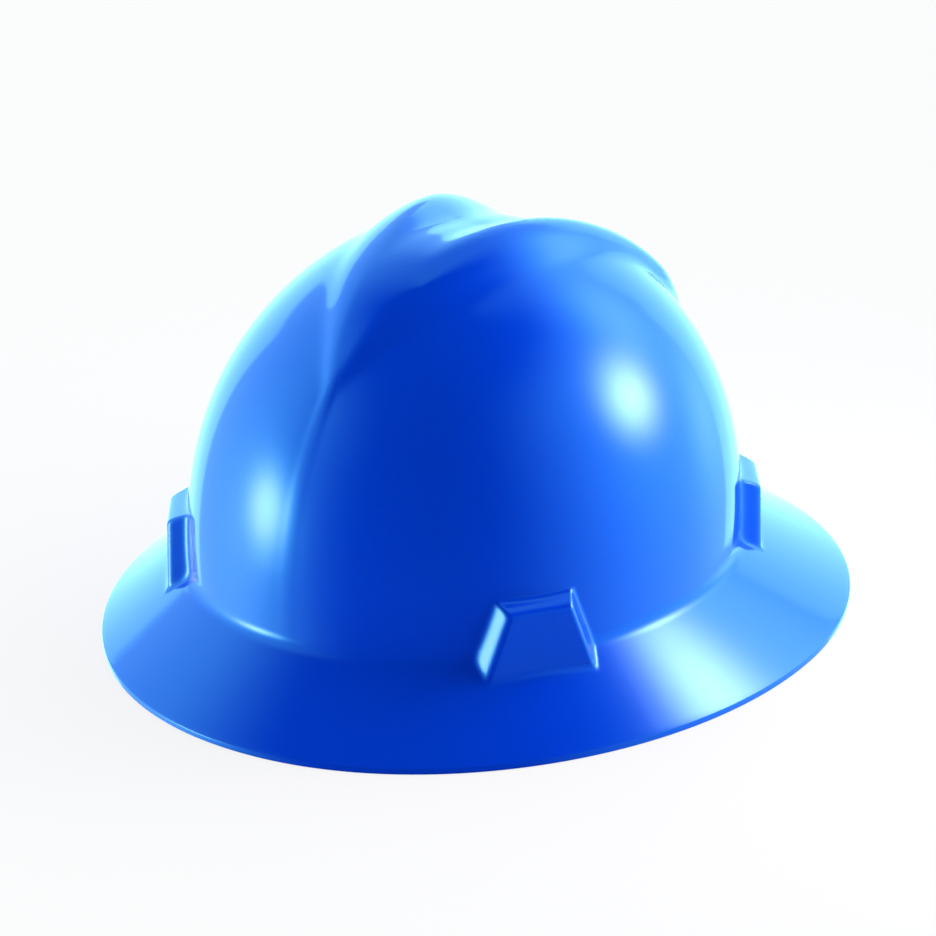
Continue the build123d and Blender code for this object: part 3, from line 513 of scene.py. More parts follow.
def gloss_polyethylene():
    material, tree, shader = new_material("blue_gloss_moulded_polyethylene")
    place = add_node(tree, "ShaderNodeTexCoord").outputs["Object"]
    wave = noise(tree, place, SHELL_WAVE, 1.0)
    colour = mix_colours(tree, noise(tree, place, SHELL_CLOUD), *SHELL_BLUES)
    shader.inputs["Roughness"].default_value = SHELL_ROUGHNESS
    shader.inputs["IOR"].default_value = SHELL_IOR
    shader.inputs["Specular Tint"].default_value = linear_colour(SHELL_TINT)
    dress(tree, shader, colour, wave, SHELL_WAVE_STRENGTH, SHELL_WAVE_DEPTH)
    return material


SHELL_PLASTIC = gloss_polyethylene()

# %% [markdown]
# ## The shell
# The shell is one moulded piece. Its form follows a rule from its crown to its rim: an oval
# dome, a soft blend, a sloping brim, a V ridge raised on the crown and four lugs pushed out of
# the foot of the dome. It could be sculpted or subdivided by hand, but then its reflections
# would wander. Here a geometry tree lays out a grid, one way down the shell and the other way
# round it, and moves each point to where the rule says. The grid is finest round the lugs.

# %% Sizes of the shell
CROWN_RISE = 134.4 * MM
BLEND = 4.0 * MM
SHELL_SIZES = {
    "Dome half length": 121.7 * MM,
    "Dome half width": 105.8 * MM,
    "Dome centre": -6.1 * MM,
    "Dome base height": 29.1 * MM,
    "Crown rise": CROWN_RISE,
    "Crown power": 2.417,
    "Oval power": 1.788,
    "Brim half length": 165.0 * MM,
    "Brim half width": 143.3 * MM,
    "Brim power": 2.028,
    "Rear spread": 0.0412,
    "Blend": BLEND,
    "Blend height share": BLEND / CROWN_RISE,
    "Wall": 2.3 * MM,
    "Lip height": 2.0 * MM,
    "Lip round": 0.5 * MM,
    "Ridge height": 5.3 * MM,
    "Ridge half width": 43.5 * MM,
    "Ridge spread power": 0.7,
    "Ridge crease": 2.2 * MM,
    "Valley depth": 8.8 * MM,
    "Valley power": 1.69,
    "Lug angle": radians(39.0),
    "Lug out": 6.8 * MM,
    "Lug foot height": 18.0 * MM,
    "Lug foot half": 23.4 * MM,
    "Lug top height": 48.4 * MM,
    "Lug lean": 0.36,
    "Lug roof run": 2.4,
    "Lug round": 2.0 * MM,
    "Lug brow": 4.0 * MM,
    "Lug fillet": 2.4 * MM,
}
NOSE_SHARE = -0.755
FULL_HEIGHT_SHARE = -0.361
VALLEY_FULL_SHARE = 0.05
WIDEST_SHARE = 0.42
FADE_START_SHARE = 0.611
FADE_END_SHARE = 0.8175
CREST_FRONT_SHARE = 0.348
CREST_REAR_SHARE = 0.779
CREST_LEAST_SHARE = 0.3
CREST_MOST_SHARE = 0.9
FLANK_MOST = 3.0
TIP_SHARE = 0.0001
POLE_SHARE = 0.0000001
LUG_FLARE = radians(27.0)
LUG_CLEAR_SHARE = 2.0
print("shell:", len(SHELL_SIZES), "sizes")


# %% The rule of the shell, as a formula in nodes
def ridge_height(size, across, run):
    """Height of the V ridge over the plain dome, from a place's x and its run along the dome."""
    share = run / size["Dome half length"]
    along = ((share - NOSE_SHARE) / (WIDEST_SHARE - NOSE_SHARE)).clamped(TIP_SHARE)
    half_width = size["Ridge half width"] * (along * (2 - along)) ** size["Ridge spread power"]
    lead = ((FULL_HEIGHT_SHARE - share) / (FULL_HEIGHT_SHARE - NOSE_SHARE)).apply("MAXIMUM", 0)
    fade = ((share - FADE_START_SHARE) / (FADE_END_SHARE - FADE_START_SHARE)).apply("MAXIMUM", 0)
    crest_run = (share - FULL_HEIGHT_SHARE) / (WIDEST_SHARE - FULL_HEIGHT_SHARE)
    crest = crest_run * (CREST_REAR_SHARE - CREST_FRONT_SHARE) + CREST_FRONT_SHARE
    crest = crest.clamped(CREST_LEAST_SHARE, CREST_MOST_SHARE)
    place = abs(across) / half_width
    flank = ((place - crest) / (1 - crest)).clamped(0, FLANK_MOST)
    arm = size["Ridge height"] * (1 - lead * lead - fade * fade - flank * flank)
    raised = (arm + (arm * arm + size["Ridge crease"] ** 2).apply("SQRT")) * 0.5
    opening = ((share - FULL_HEIGHT_SHARE) / (VALLEY_FULL_SHARE - FULL_HEIGHT_SHARE)).eased()
    opening = opening * (1 - fade.eased())
    dip = ((place / crest).clamped() ** size["Valley power"] * pi).apply("COSINE") * 0.5 + 0.5
    return raised - size["Valley depth"] * opening * dip


def dome_place(size, share, cosine, sine):
    """Point of the crown, ridge included, at a share of the base oval."""
    x = size["Dome half width"] * share * cosine
    run = size["Dome half length"] * share * sine
    climb = (1 - share ** size["Oval power"]).apply("MAXIMUM", 0) ** (1 / size["Crown power"])
    steep = size["Oval power"] * share ** (size["Oval power"] - 2)
    slope_x = steep * x / size["Dome half width"] ** 2
    slope_y = steep * run / size["Dome half length"] ** 2
    slope_z = size["Crown power"] * climb ** (size["Crown power"] - 1) / size["Crown rise"]
    raised = ridge_height(size, x, run) / length_of(slope_x, slope_y, slope_z)
    y = run + size["Dome centre"] + slope_y * raised
    z = size["Dome base height"] + size["Crown rise"] * climb + slope_z * raised
    return x + slope_x * raised, y, z


def swell(term, size):
    """Signed power that makes the brim's oval a little squarer than an ellipse."""
    return term.apply("SIGN") * abs(term) ** (2 / size["Brim power"])


def oval_places(size, cosine, sine):
    """Corner of dome and brim, start and end of the flat brim, and rim, each as x, y and z."""
    half_length = size["Dome half length"]
    corner = (
        size["Dome half width"] * cosine,
        half_length * sine + size["Dome centre"],
        size["Dome base height"],
    )
    share = swell(sine, size)
    spread = 1 + size["Rear spread"] * share
    rim = (
        size["Brim half width"] * swell(cosine, size) * spread,
        size["Brim half length"] * share,
        size["Lip height"],
    )
    slant = [end - begin for begin, end in zip(corner, rim)]
    length = length_of(*slant)
    start = [begin + part * size["Blend"] / length for begin, part in zip(corner, slant)]
    edge = [end - part * size["Lip round"] / length for end, part in zip(rim, slant)]
    return corner, start, edge, rim


def skin_place(size, way, cosine, sine):
    """Outer skin: ways 0 to 1 are the dome, to 2 the blend, to 3 the brim, to 4 and 5 the lip."""
    height_left = size["Blend height share"] ** size["Crown power"]
    last_share = (1 - height_left) ** (1 / size["Oval power"])
    share = (way.clamped() * (pi / 2)).apply("SINE") * last_share
    crown = dome_place(size, share.apply("MAXIMUM", POLE_SHARE), cosine, sine)
    corner, start, edge, rim = oval_places(size, cosine, sine)
    blend = (way - 1).clamped()
    brim = (way - 2).clamped()
    lip = (way - 3).clamped()
    drop = (way - 4).clamped()
    low = (rim[0], rim[1], size["Lip height"] - size["Lip round"])
    foot = (rim[0], rim[1], size["Lip height"] * 0)
    place = []
    for axis in range(3):
        curve = crown[axis] * (1 - blend) ** 2 + corner[axis] * (blend * 2 * (1 - blend))
        curve = curve + start[axis] * blend * blend + (edge[axis] - start[axis]) * brim
        turn = edge[axis] * (1 - lip) ** 2 + rim[axis] * (lip * 2 * (1 - lip))
        turn = turn + low[axis] * lip * lip - edge[axis]
        place.append(curve + turn + (foot[axis] - low[axis]) * drop)
    return place


# %% [markdown]
# ## The lugs in the rule
# Each lug is a block with an upright face, a sloping roof and flared flanks that stands out
# from the foot of the dome. Points that lie inside the block are pushed straight out to its
# face. A smooth minimum joins the lug's planes, which rounds its edges, and a smooth maximum
# lays it on the dome with a small fillet, as a moulder needs to get the shell out of its mould.
# Well above the lug its roof drops faster, so that it never pushes points of the crown. The
# lugs mirror each other, so one in positive x and y serves for all four.


# %% Push out the lugs
def smooth_least(one, other, size):
    """The smaller of two numbers, rounded where they meet."""
    gap = (1 - abs(one - other) / size).clamped()
    return one.apply("MINIMUM", other) - gap * gap * size / 4


def push_lugs(size, place):
    """Moves a point of the skin straight out to the face of the lug that covers it."""
    x, y, z = place
    cosine = size["Lug angle"].apply("COSINE")
    sine = size["Lug angle"].apply("SINE")
    normal_x = cosine / size["Dome half width"]
    normal_y = sine / size["Dome half length"]
    length = length_of(normal_x, normal_y)
    normal_x = normal_x / length
    normal_y = normal_y / length
    from_x = abs(x) - size["Dome half width"] * cosine
    from_y = abs(y - size["Dome centre"]) - size["Dome half length"] * sine
    out = from_x * normal_x + from_y * normal_y
    across = abs(from_y * normal_x - from_x * normal_y)
    half = size["Lug foot half"] - (z - size["Lug foot height"]) * size["Lug lean"]
    face = size["Lug out"]
    flank = face - (across - half) / tan(LUG_FLARE)
    rise = z - size["Lug top height"]
    far_above = (rise - size["Lug out"] * LUG_CLEAR_SHARE).apply("MAXIMUM", 0)
    roof = face - rise * size["Lug roof run"] - far_above
    limit = smooth_least(smooth_least(face, roof, size["Lug brow"]), flank, size["Lug round"])
    pushed = 0 - smooth_least(0 - out, 0 - limit, size["Lug fillet"])
    move = pushed - out
    moved_x = x + x.apply("SIGN") * normal_x * move
    moved_y = y + (y - size["Dome centre"]).apply("SIGN") * normal_y * move
    return moved_x, moved_y, z


# %% [markdown]
# ## The grid of the shell
# The same rule places two grids. The outer one carries the lugs and the rounded lip. The inner
# one is the plain skin turned inside out and set in by the wall's thickness. Both share one
# layout round the hat, closest at the lugs, so their rims can be bridged point by point. Short
# tables say where down the shell and where round a quarter of it the lines lie.

# %% Lay out the grids and bake the shell
DOME_STEPS = ((0.9, 46), (0.955, 38), (1.0, 14))
WAY_STEPS = (*DOME_STEPS, (2.0, 8), (2.35, 18), (3.0, 10), (4.0, 4), (5.0, 2))
INNER_STEPS = ((1.0, 30), (2.0, 6), (3.0, 8))
TURN_STEPS = ((24.0, 16), (54.0, 76), (90.0, 22))
MERGE_GAP = 0.002 * MM


def spread_steps(share, steps):
    """Maps an even share from 0 to 1 onto uneven steps, given as pairs of an end and a count."""
    total = sum(count for end, count in steps)
    way = share * 0
    start = 0.0
    done = 0
    for end, count in steps:
        part = ((share - done / total) * (total / count)).clamped()
        way = way + part * (end - start)
        start = end
        done += count
    return way


def shell_grid(tree, size, steps, with_lugs):
    """A grid that runs down and round the shell, with each point moved by the rule."""
    columns = 4 * sum(count for end, count in TURN_STEPS)
    rows = sum(count for end, count in steps)
    grid = add_node(
        tree,
        "GeometryNodeMeshGrid",
        {"Size X": 1.0, "Size Y": 1.0, "Vertices X": rows + 1, "Vertices Y": columns + 1},
    )
    position = add_node(tree, "GeometryNodeInputPosition")
    x, y = split(tree, position.outputs[0])[:2]
    way = spread_steps((x + 0.5).clamped(), steps)
    half = (y + 0.5).clamped() * 2
    nearest = half.apply("ROUND")
    within = half - nearest
    quarter = spread_steps(abs(within) * 2, TURN_STEPS) * radians(1)
    turn = nearest * pi + within.apply("SIGN") * quarter
    place = skin_place(size, way, turn.apply("COSINE"), turn.apply("SINE"))
    if with_lugs:
        place = push_lugs(size, place)
    sockets = {axis: term.socket for axis, term in zip("XYZ", place)}
    joined = add_node(tree, "ShaderNodeCombineXYZ", sockets)
    moved = add_node(
        tree,
        "GeometryNodeSetPosition",
        {"Geometry": grid.outputs[0], "Position": joined.outputs[0]},
    )
    closed = add_node(
        tree, "GeometryNodeMergeByDistance", {0: moved.outputs[0], "Distance": MERGE_GAP}
    )
    return closed.outputs[0]


def shell_tree():
    tree, size = new_geometry_tree("hat_shell", SHELL_SIZES)
    outer = shell_grid(tree, size, WAY_STEPS, True)
    plain = shell_grid(tree, size, INNER_STEPS, False)
    flipped = add_node(tree, "GeometryNodeFlipFaces", {0: plain})
    normal = add_node(tree, "GeometryNodeInputNormal")
    inward = add_node(
        tree,
        "ShaderNodeVectorMath",
        {0: normal.outputs[0], "Scale": size["Wall"].socket},
        operation="SCALE",
    )
    inner = add_node(
        tree, "GeometryNodeSetPosition", {0: flipped.outputs[0], "Offset": inward.outputs[0]}
    )
    both = add_node(tree, "GeometryNodeJoinGeometry")
    connect(tree, [(outer, both.inputs[0]), (inner.outputs[0], both.inputs[0])])
    hand_over(tree, both.outputs[0], SHELL_PLASTIC)
    return tree


def close_rim(mesh):
    """Bridges the open rims of the two skins into the flat underside of the lip."""
    shape = bmesh.new()
    shape.from_mesh(mesh)
    open_edges = [edge for edge in shape.edges if edge.is_boundary]
    bmesh.ops.bridge_loops(shape, edges=open_edges)
    bmesh.ops.recalc_face_normals(shape, faces=shape.faces)
    shape.to_mesh(mesh)
    left_open = sum(1 for edge in shape.edges if not edge.is_manifold)
    print("shell rim bridged:", len(open_edges), "edges,", left_open, "left open")
    shape.free()


shell = grow("shell_skin", shell_tree(), SHELL_SIZES)
close_rim(shell.data)

# %% [markdown]
# ## Slots for the suspension keys
# From below, each lug is hollow: a narrow slot takes the blade of a suspension key. The slots
# are cut out of the closed shell by four boxes with a Boolean modifier, because a slot has
# sharp walls that the smooth rule of the skin can't give.

# %% Cut the key slots
SLOT_HALF = 14.0 * MM
SLOT_IN = 1.5 * MM
SLOT_OUT = 5.9 * MM
SLOT_LOW = 12.0 * MM
SLOT_TOP = 40.0 * MM
SHARP_ANGLE = radians(38.0)
QUARTERS = ((1, 1), (-1, 1), (-1, -1), (1, -1))


def lug_frame(side_x, side_y):
    """Foot of a lug on the dome's base oval, its direction outwards and the one across."""
    angle = SHELL_SIZES["Lug angle"]
    width = SHELL_SIZES["Dome half width"]
    length = SHELL_SIZES["Dome half length"]
    foot = Vector((side_x * width * cos(angle), side_y * length * sin(angle), 0))
    foot.y += SHELL_SIZES["Dome centre"]
    outward = Vector((side_x * cos(angle) / width, side_y * sin(angle) / length, 0)).normalized()
    return foot, outward, Vector((0, 0, 1)).cross(outward)


def box_between(shape, foot, outward, across, halves, outs, heights):
    """Adds a closed box to a bmesh, given in a lug's own directions."""
    corners = []
    for height in heights:
        for out, side in ((outs[0], -1), (outs[1], -1), (outs[1], 1), (outs[0], 1)):
            place = foot + outward * out + across * (side * halves)
            corners.append(shape.verts.new((place.x, place.y, height)))
    low, high = corners[:4], corners[4:]
    shape.faces.new(low[::-1])
    shape.faces.new(high)
    for first in range(4):
        second = (first + 1) % 4
        shape.faces.new((low[first], low[second], high[second], high[first]))


def mark_sharp(mesh):
    """Smooth shading with a crease at each edge that turns sharply."""
    shape = bmesh.new()
    shape.from_mesh(mesh)
    for face in shape.faces:
        face.smooth = True
    for edge in shape.edges:
        edge.smooth = edge.calc_face_angle(0.0) < SHARP_ANGLE
    shape.to_mesh(mesh)
    shape.free()


def subtract(piece, shape, name):
    """Cuts the closed bodies of a bmesh out of a piece and keeps the plain result."""
    bmesh.ops.recalc_face_normals(shape, faces=shape.faces)
    cutter = link_piece(name, keep_shape(name, shape))
    modifier = piece.modifiers.new("cut", "BOOLEAN")
    modifier.operation = "DIFFERENCE"
    modifier.solver = "EXACT"
    modifier.object = cutter
    bake(piece, modifier)
    bpy.data.objects.remove(cutter)


def cut_key_slots():
    shape = bmesh.new()
    for side_x, side_y in QUARTERS:
        foot, outward, across = lug_frame(side_x, side_y)
        box_between(
            shape, foot, outward, across, SLOT_HALF, (SLOT_IN, SLOT_OUT), (SLOT_LOW, SLOT_TOP)
        )
    subtract(shell, shape, "slot_cutter")
    mark_sharp(shell.data)
    print("shell with slots:", len(shell.data.polygons), "faces")


cut_key_slots()
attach(shell, "root")
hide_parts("shell")

# %% [markdown]
# ## Moulded plastics, rubber and steel
# The suspension is moulded in nylon with a spark-eroded mould, which leaves a fine even grain
# and a satin look. The knob is acetal, a little smoother and slicker. The grip ring is a soft
# rubber that hardly shines. The screws are zinc-plated steel. Each finish is one Principled
# shader with its grain as a bump. The real grain, 0.1 to 0.3 mm wide, is drawn about twice as
# coarse so that it shows. The CAD nodes keep their shapes and only get these materials.

# %% Materials for the moulded pieces
GRAINED_CLOUD = 14 * MM
GRAIN_STRENGTH = 0.6


def grained(name, colours, roughness, grain, depth, metallic=0.0, ior=1.5):
    """A finish with two close shades, a grain of a given width and depth, and one gloss."""
    material, tree, shader = new_material(name)
    place = add_node(tree, "ShaderNodeTexCoord").outputs["Object"]
    colour = mix_colours(tree, noise(tree, place, GRAINED_CLOUD), *colours)
    shader.inputs["Roughness"].default_value = roughness
    shader.inputs["Metallic"].default_value = metallic
    shader.inputs["IOR"].default_value = ior
    dress(tree, shader, colour, noise(tree, place, grain), GRAIN_STRENGTH, depth)
    return material


NYLON = grained(
    "dark_grey_satin_moulded_nylon", ("24272A", "2B2E32"), 0.42, 0.5 * MM, 0.05 * MM, ior=1.53
)
ACETAL = grained(
    "black_satin_moulded_acetal", ("1B1C1E", "212326"), 0.32, 0.5 * MM, 0.03 * MM, ior=1.48
)
RUBBER = grained(
    "black_soft_grip_rubber", ("121213", "18191A"), 0.78, 0.6 * MM, 0.08 * MM, ior=1.52
)
ZINC = grained(
    "zinc_plated_steel", ("B9BDC1", "CDD0D3"), 0.3, 0.9 * MM, 0.01 * MM, metallic=1.0
)
RACKS = ("left_rack", "right_rack")
KEYS = ("front_left_key", "front_right_key", "rear_left_key", "rear_right_key")
RIVETS = ("left_pivot_rivet", "right_pivot_rivet")
MOULDED = {
    NYLON: (*RACKS, "headband", "ratchet_housing", "ratchet_cover", *KEYS),
    ACETAL: ("ratchet_knob", "drive_pinion", "click_spring", *RIVETS),
    RUBBER: ("knob_grip",),
    ZINC: ("cover_screws", "knob_screw"),
}
for material, names in MOULDED.items():
    for name in names:
        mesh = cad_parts[name].data
        mesh.materials.clear()
        mesh.materials.append(material)
print("nodes that keep their shape:", sum(map(len, MOULDED.values())))

# %% [markdown]
# ## Cloth finishes
# Two cloths are used. The crown straps are plain-woven polyester webbing: thick threads that
# cross over and under each other. The pads are covered in a rib knit, which is soft and
# stretches round the foam. Both patterns are drawn from the piece's own UV map, which is in
# metres along and across the cloth, so the threads follow every bend. The webbing's threads are
# 0.9 mm apart and the knit's ribs 1.3 mm, close to the real ones. Sheen stands for the fluff.

# %% Materials for webbing, knit and thread
CLOTH_MAP = "cloth"
THREAD_PITCH = 0.9 * MM
RIB_PITCH = 1.3 * MM
LOOP_PITCH = 1.0 * MM
LOOP_SLANT = 0.35 * MM
RIB_SHARE = 0.7
CLOTH_BUMP_STRENGTH = 0.8
CLOTH_ROUGHNESS = 0.85
SHEEN_ROUGHNESS = 0.4


def cloth_place(tree):
    """Place on the cloth in metres, along it and across it."""
    place = add_node(tree, "ShaderNodeUVMap", uv_map=CLOTH_MAP)
    return split(tree, place.outputs[0])[:2]


def weave_height(tree):
    """Height of a plain weave: each thread is round and goes over one and under the next."""
    along, across = cloth_place(tree)
    waves = [(term * (pi / THREAD_PITCH)).apply("SINE") for term in (along, across)]
    over = (waves[0] * waves[1]).apply("GREATER_THAN", 0.0)
    return abs(waves[1]) * over + abs(waves[0]) * (1 - over)


def knit_height(tree):
    """Height of a rib knit: columns of small slanted stitches."""
    along, across = cloth_place(tree)
    slant = abs((along * (pi / LOOP_PITCH)).apply("SINE")) * LOOP_SLANT
    rib = abs(((across + slant) * (pi / RIB_PITCH)).apply("SINE"))
    loop = abs(((along + slant) * (pi / LOOP_PITCH)).apply("SINE"))
    return rib * RIB_SHARE + loop * (1 - RIB_SHARE)


def cloth(name, height_of, painted_gap_shade, light, depth, sheen):
    """A cloth whose gaps between the raised threads are painted darker, as painted shade."""
    material, tree, shader = new_material(name)
    height = height_of(tree).socket
    shader.inputs["Roughness"].default_value = CLOTH_ROUGHNESS
    shader.inputs["Sheen Weight"].default_value = sheen
    shader.inputs["Sheen Roughness"].default_value = SHEEN_ROUGHNESS
    # The colour follows the height: the gaps between the threads are painted shade.
    colour = mix_colours(tree, height, painted_gap_shade, light)
    dress(tree, shader, colour, height, CLOTH_BUMP_STRENGTH, depth)
    return material


# The first colour of each cloth is the painted shade in its gaps, the second its threads' colour.
WEBBING = cloth(
    "grey_plain_woven_polyester_webbing", weave_height, "34383E", "6A7079", 0.2 * MM, 0.25
)
KNIT = cloth("black_rib_knit_over_foam", knit_height, "0E0F11", "26282C", 0.25 * MM, 0.35)
THREAD = grained(
    "pale_grey_bonded_nylon_thread", ("8E949C", "A4AAB1"), 0.6, 0.4 * MM, 0.05 * MM
)

# %% [markdown]
# ## Stitches
# Webbing and pads are sewn with a lock stitch, which shows as short raised dashes. They repeat
# along lines, so a geometry tree makes them: it takes a mesh of plain edges, resamples them at
# the stitch's pitch and lays one small grain of thread along the line at each point.

# %% Sew along lines
STITCH_SIZES = {"Pitch": 2.6 * MM, "Length": 1.9 * MM, "Width": 0.5 * MM}


def stitch_tree():
    tree, size = new_geometry_tree("stitches", STITCH_SIZES, takes_geometry=True)
    lines = add_node(tree, "GeometryNodeMeshToCurve", {0: size["Geometry"]})
    spaced = add_node(
        tree,
        "GeometryNodeResampleCurve",
        {"Curve": lines.outputs[0], "Length": size["Pitch"].socket},
        mode="LENGTH",
    )
    tangent = add_node(tree, "GeometryNodeInputTangent")
    turned = add_node(
        tree, "FunctionNodeAlignRotationToVector", {"Vector": tangent.outputs[0]}, axis="X"
    )
    grain = add_node(tree, "GeometryNodeMeshIcoSphere", {"Radius": 0.5, "Subdivisions": 2})
    scale = {"X": size["Length"].socket, "Y": size["Width"].socket, "Z": size["Width"].socket}
    scale = add_node(tree, "ShaderNodeCombineXYZ", scale)
    laid = add_node(
        tree,
        "GeometryNodeInstanceOnPoints",
        {
            "Points": spaced.outputs[0],
            "Instance": grain.outputs[0],
            "Rotation": turned.outputs[0],
            "Scale": scale.outputs[0],
        },
    )
    hand_over(tree, laid.outputs[0], THREAD)
    return tree


STITCHES = stitch_tree()


def sew(name, lines, body):
    """Stitches along lines, each a list of places, that ride on a body."""
    points = [point for line in lines for point in line]
    edges = []
    start = 0
    for line in lines:
        edges += [(start + step, start + step + 1) for step in range(len(line) - 1)]
        start += len(line)
    base = bpy.data.meshes.new(name)
    base.from_pydata(points, edges, [])
    piece = grow(name, STITCHES, STITCH_SIZES, base)
    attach(piece, body)


# %% [markdown]
# ## The crown straps
# Two straps of 19 mm webbing cross over the head. Each runs in one piece: from a sewn tail,
# down round the bar of a key, up and over in an arch, round the opposite bar and back to its
# other tail. Webbing is flat and stiff across, so it is swept along that line as a thin band
# with rounded edges instead of being simulated. The upper strap runs a little higher, so that
# the two cross close together without touching.

# %% Sweep the crown straps
STRAP_WIDTH = 19.0 * MM
STRAP_THICK = 1.4 * MM
STRAP_TOP = 118.0 * MM
BAR_HEIGHT = 48.0 * MM
BAR_INSET = 15.3 * MM
EYE_RADIUS = 2.3 * MM
SEAM_LOW = 62.0 * MM
SEAM_HIGH = 78.0 * MM
SEAM_SIDE_GAP = 2.6 * MM
SEAM_END_GAP = 1.5 * MM
SEAM_LAYERS = (-0.05, 2.05)
SEAM_STEPS = 8
TAIL_STEPS = 8
LEG_STEPS = 4
EYE_STEPS = 12
ARCH_STEPS = 72
EDGE_START = 0.6 * MM
EDGE_BULGE = 0.15 * MM
FACE_START = 1.8 * MM
FACE_SHARE = 0.86
EDGE_SHARE = 0.7
LUG_SIDE = SHELL_SIZES["Dome half width"] * cos(SHELL_SIZES["Lug angle"])
LUG_FRONT = SHELL_SIZES["Dome half length"] * sin(SHELL_SIZES["Lug angle"])
BAR_REACH = hypot(LUG_SIDE, LUG_FRONT) - BAR_INSET
STRAP_FOOT = BAR_REACH - EYE_RADIUS - STRAP_THICK


def arch_point(rise, layer, turn):
    """Point of the arch at an angle. Layer 0.5 is the strap's middle, 1.5 its tail's."""
    reach = STRAP_FOOT + layer * STRAP_THICK
    return Vector((reach * cos(turn), BAR_HEIGHT + (rise + layer * STRAP_THICK) * sin(turn)))


def tail_turn(rise, layer, height):
    """Angle of the arch at which a layer reaches a height."""
    return asin((height - BAR_HEIGHT) / (rise + layer * STRAP_THICK))


def half_strap_line(rise):
    """Middle line from the end of a tail round the bar to the start of the arch."""
    high = tail_turn(rise, 1.5, SEAM_HIGH)
    low = tail_turn(rise, 1.5, SEAM_LOW)
    turns = [high + (low - high) * step / TAIL_STEPS for step in range(TAIL_STEPS + 1)]
    line = [arch_point(rise, 1.5, turn) for turn in turns]
    radius = EYE_RADIUS + STRAP_THICK / 2
    leg_top, leg_foot = line[-1], Vector((BAR_REACH + radius, BAR_HEIGHT))
    line += [leg_top.lerp(leg_foot, step / LEG_STEPS) for step in range(1, LEG_STEPS)]
    for step in range(EYE_STEPS + 1):
        turn = -pi * step / EYE_STEPS
        line.append(Vector((BAR_REACH + radius * cos(turn), BAR_HEIGHT + radius * sin(turn))))
    return line


def strap_line(rise):
    """Whole middle line of a strap, in the upright plane through both of its bars."""
    start = half_strap_line(rise)
    turns = [pi * step / ARCH_STEPS for step in range(1, ARCH_STEPS)]
    arch = [arch_point(rise, 0.5, turn) for turn in turns]
    end = [Vector((-point.x, point.y)) for point in reversed(start)]
    return start + arch + end


def strap_edge():
    """Section of the webbing as places across it and through it, all the way round."""
    half = STRAP_WIDTH / 2
    thin = STRAP_THICK / 2
    low = thin * FACE_SHARE
    face = [(-half + EDGE_START, thin), (-half + FACE_START, low), (0, low)]
    face += [(-across, out) for across, out in face[-2::-1]]
    bulge = (half - EDGE_BULGE, thin * EDGE_SHARE)
    edge = [bulge, (half, 0), (bulge[0], -bulge[1])]
    back = [(-across, -out) for across, out in face]
    far = [(-across, -out) for across, out in edge]
    return face + edge + back + far


def strap_place(outward, reach, height, across):
    """Place in the hat of a point in a strap's upright plane, moved across the strap."""
    centre = Vector((0, SHELL_SIZES["Dome centre"], 0))
    upward = Vector((0, 0, 1))
    return centre + outward * reach + upward * height + outward.cross(upward) * across


def sweep_band(name, line, outward, section, material):
    """Sweeps a section along a line in the upright plane of a direction, with a cloth map."""
    shape = bmesh.new()
    uv_map = shape.loops.layers.uv.new(CLOTH_MAP)
    rings = []
    runs = []
    run = 0.0
    for index, point in enumerate(line):
        before = line[max(index - 1, 0)]
        after = line[min(index + 1, len(line) - 1)]
        along = (after - before).normalized()
        side = Vector((along.y, -along.x))
        run += (point - before).length
        runs.append(run)
        ring = []
        for across, out in section:
            flat = point + side * out
            ring.append(shape.verts.new(strap_place(outward, flat.x, flat.y, across)))
        rings.append(ring)
    count = len(section)
    for index in range(len(rings) - 1):
        for first in range(count):
            second = (first + 1) % count
            beyond = index + 1
            spots = ((index, first), (index, second), (beyond, second), (beyond, first))
            face = shape.faces.new([rings[ring][place] for ring, place in spots])
            face.smooth = True
            for loop, (ring, place) in zip(face.loops, spots):
                loop[uv_map].uv = (runs[ring], section[place][0])
    shape.faces.new(rings[0][::-1])
    shape.faces.new(rings[-1])
    bmesh.ops.recalc_face_normals(shape, faces=shape.faces)
    return link_piece(name, keep_shape(name, shape), material)


def seam_lines(rise, outward, layer):
    """Lines of a box seam with a cross in it, on one face of a strap's sewn ends."""
    half = STRAP_WIDTH / 2 - SEAM_SIDE_GAP
    low, high = SEAM_LOW + SEAM_END_GAP, SEAM_HIGH - SEAM_END_GAP
    corners = [(0, -half), (1, -half), (1, half), (0, half), (0, -half), (1, half)]
    rows = list(zip(corners, corners[1:])) + [((1, -half), (0, half))]
    lines = []
    for end in (-1, 1):
        for (share_a, across_a), (share_b, across_b) in rows:
            line = []
            for step in range(SEAM_STEPS + 1):
                part = step / SEAM_STEPS
                height = low + (high - low) * (share_a + (share_b - share_a) * part)
                flat = arch_point(rise, layer, tail_turn(rise, layer, height))
                across = across_a + (across_b - across_a) * part
                line.append(strap_place(outward, flat.x * end, flat.y, across))
            lines.append(line)
    return lines


CROSSING_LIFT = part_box("crown_strap_upper")[1].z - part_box("crown_strap_lower")[1].z


def make_strap(name, side, lift):
    rise = STRAP_TOP + lift - BAR_HEIGHT
    outward = Vector((LUG_SIDE, side * LUG_FRONT, 0)).normalized()
    band = sweep_band(name + "_webbing", strap_line(rise), outward, strap_edge(), WEBBING)
    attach(band, "root")
    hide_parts(name)
    seams = [line for layer in SEAM_LAYERS for line in seam_lines(rise, outward, layer)]
    sew(name + "_stitches", seams, "root")
    faces = len(band.data.polygons)
    print(name, "webbing:", faces, "faces, crossing lift", round(lift / MM, 2), "mm")


make_strap("crown_strap_lower", -1, 0.0)
make_strap("crown_strap_upper", 1, CROSSING_LIFT)

# %% [markdown]
# ## The pads
# The brow pad lines the front of the headband, and a small pad lines the nape. Each is a foam
# core between two layers of knit, sewn round its edge and across in channels. Such a pad is
# made here as the real one is: two sheets joined round their edge, held where they are sewn,
# and blown up by a short cloth simulation with some pressure between them. The pressure rounds
# each channel and pulls the cloth in at the seams. How far a point may move is capped, so the
# pad keeps to the room that it has between the band and the head.

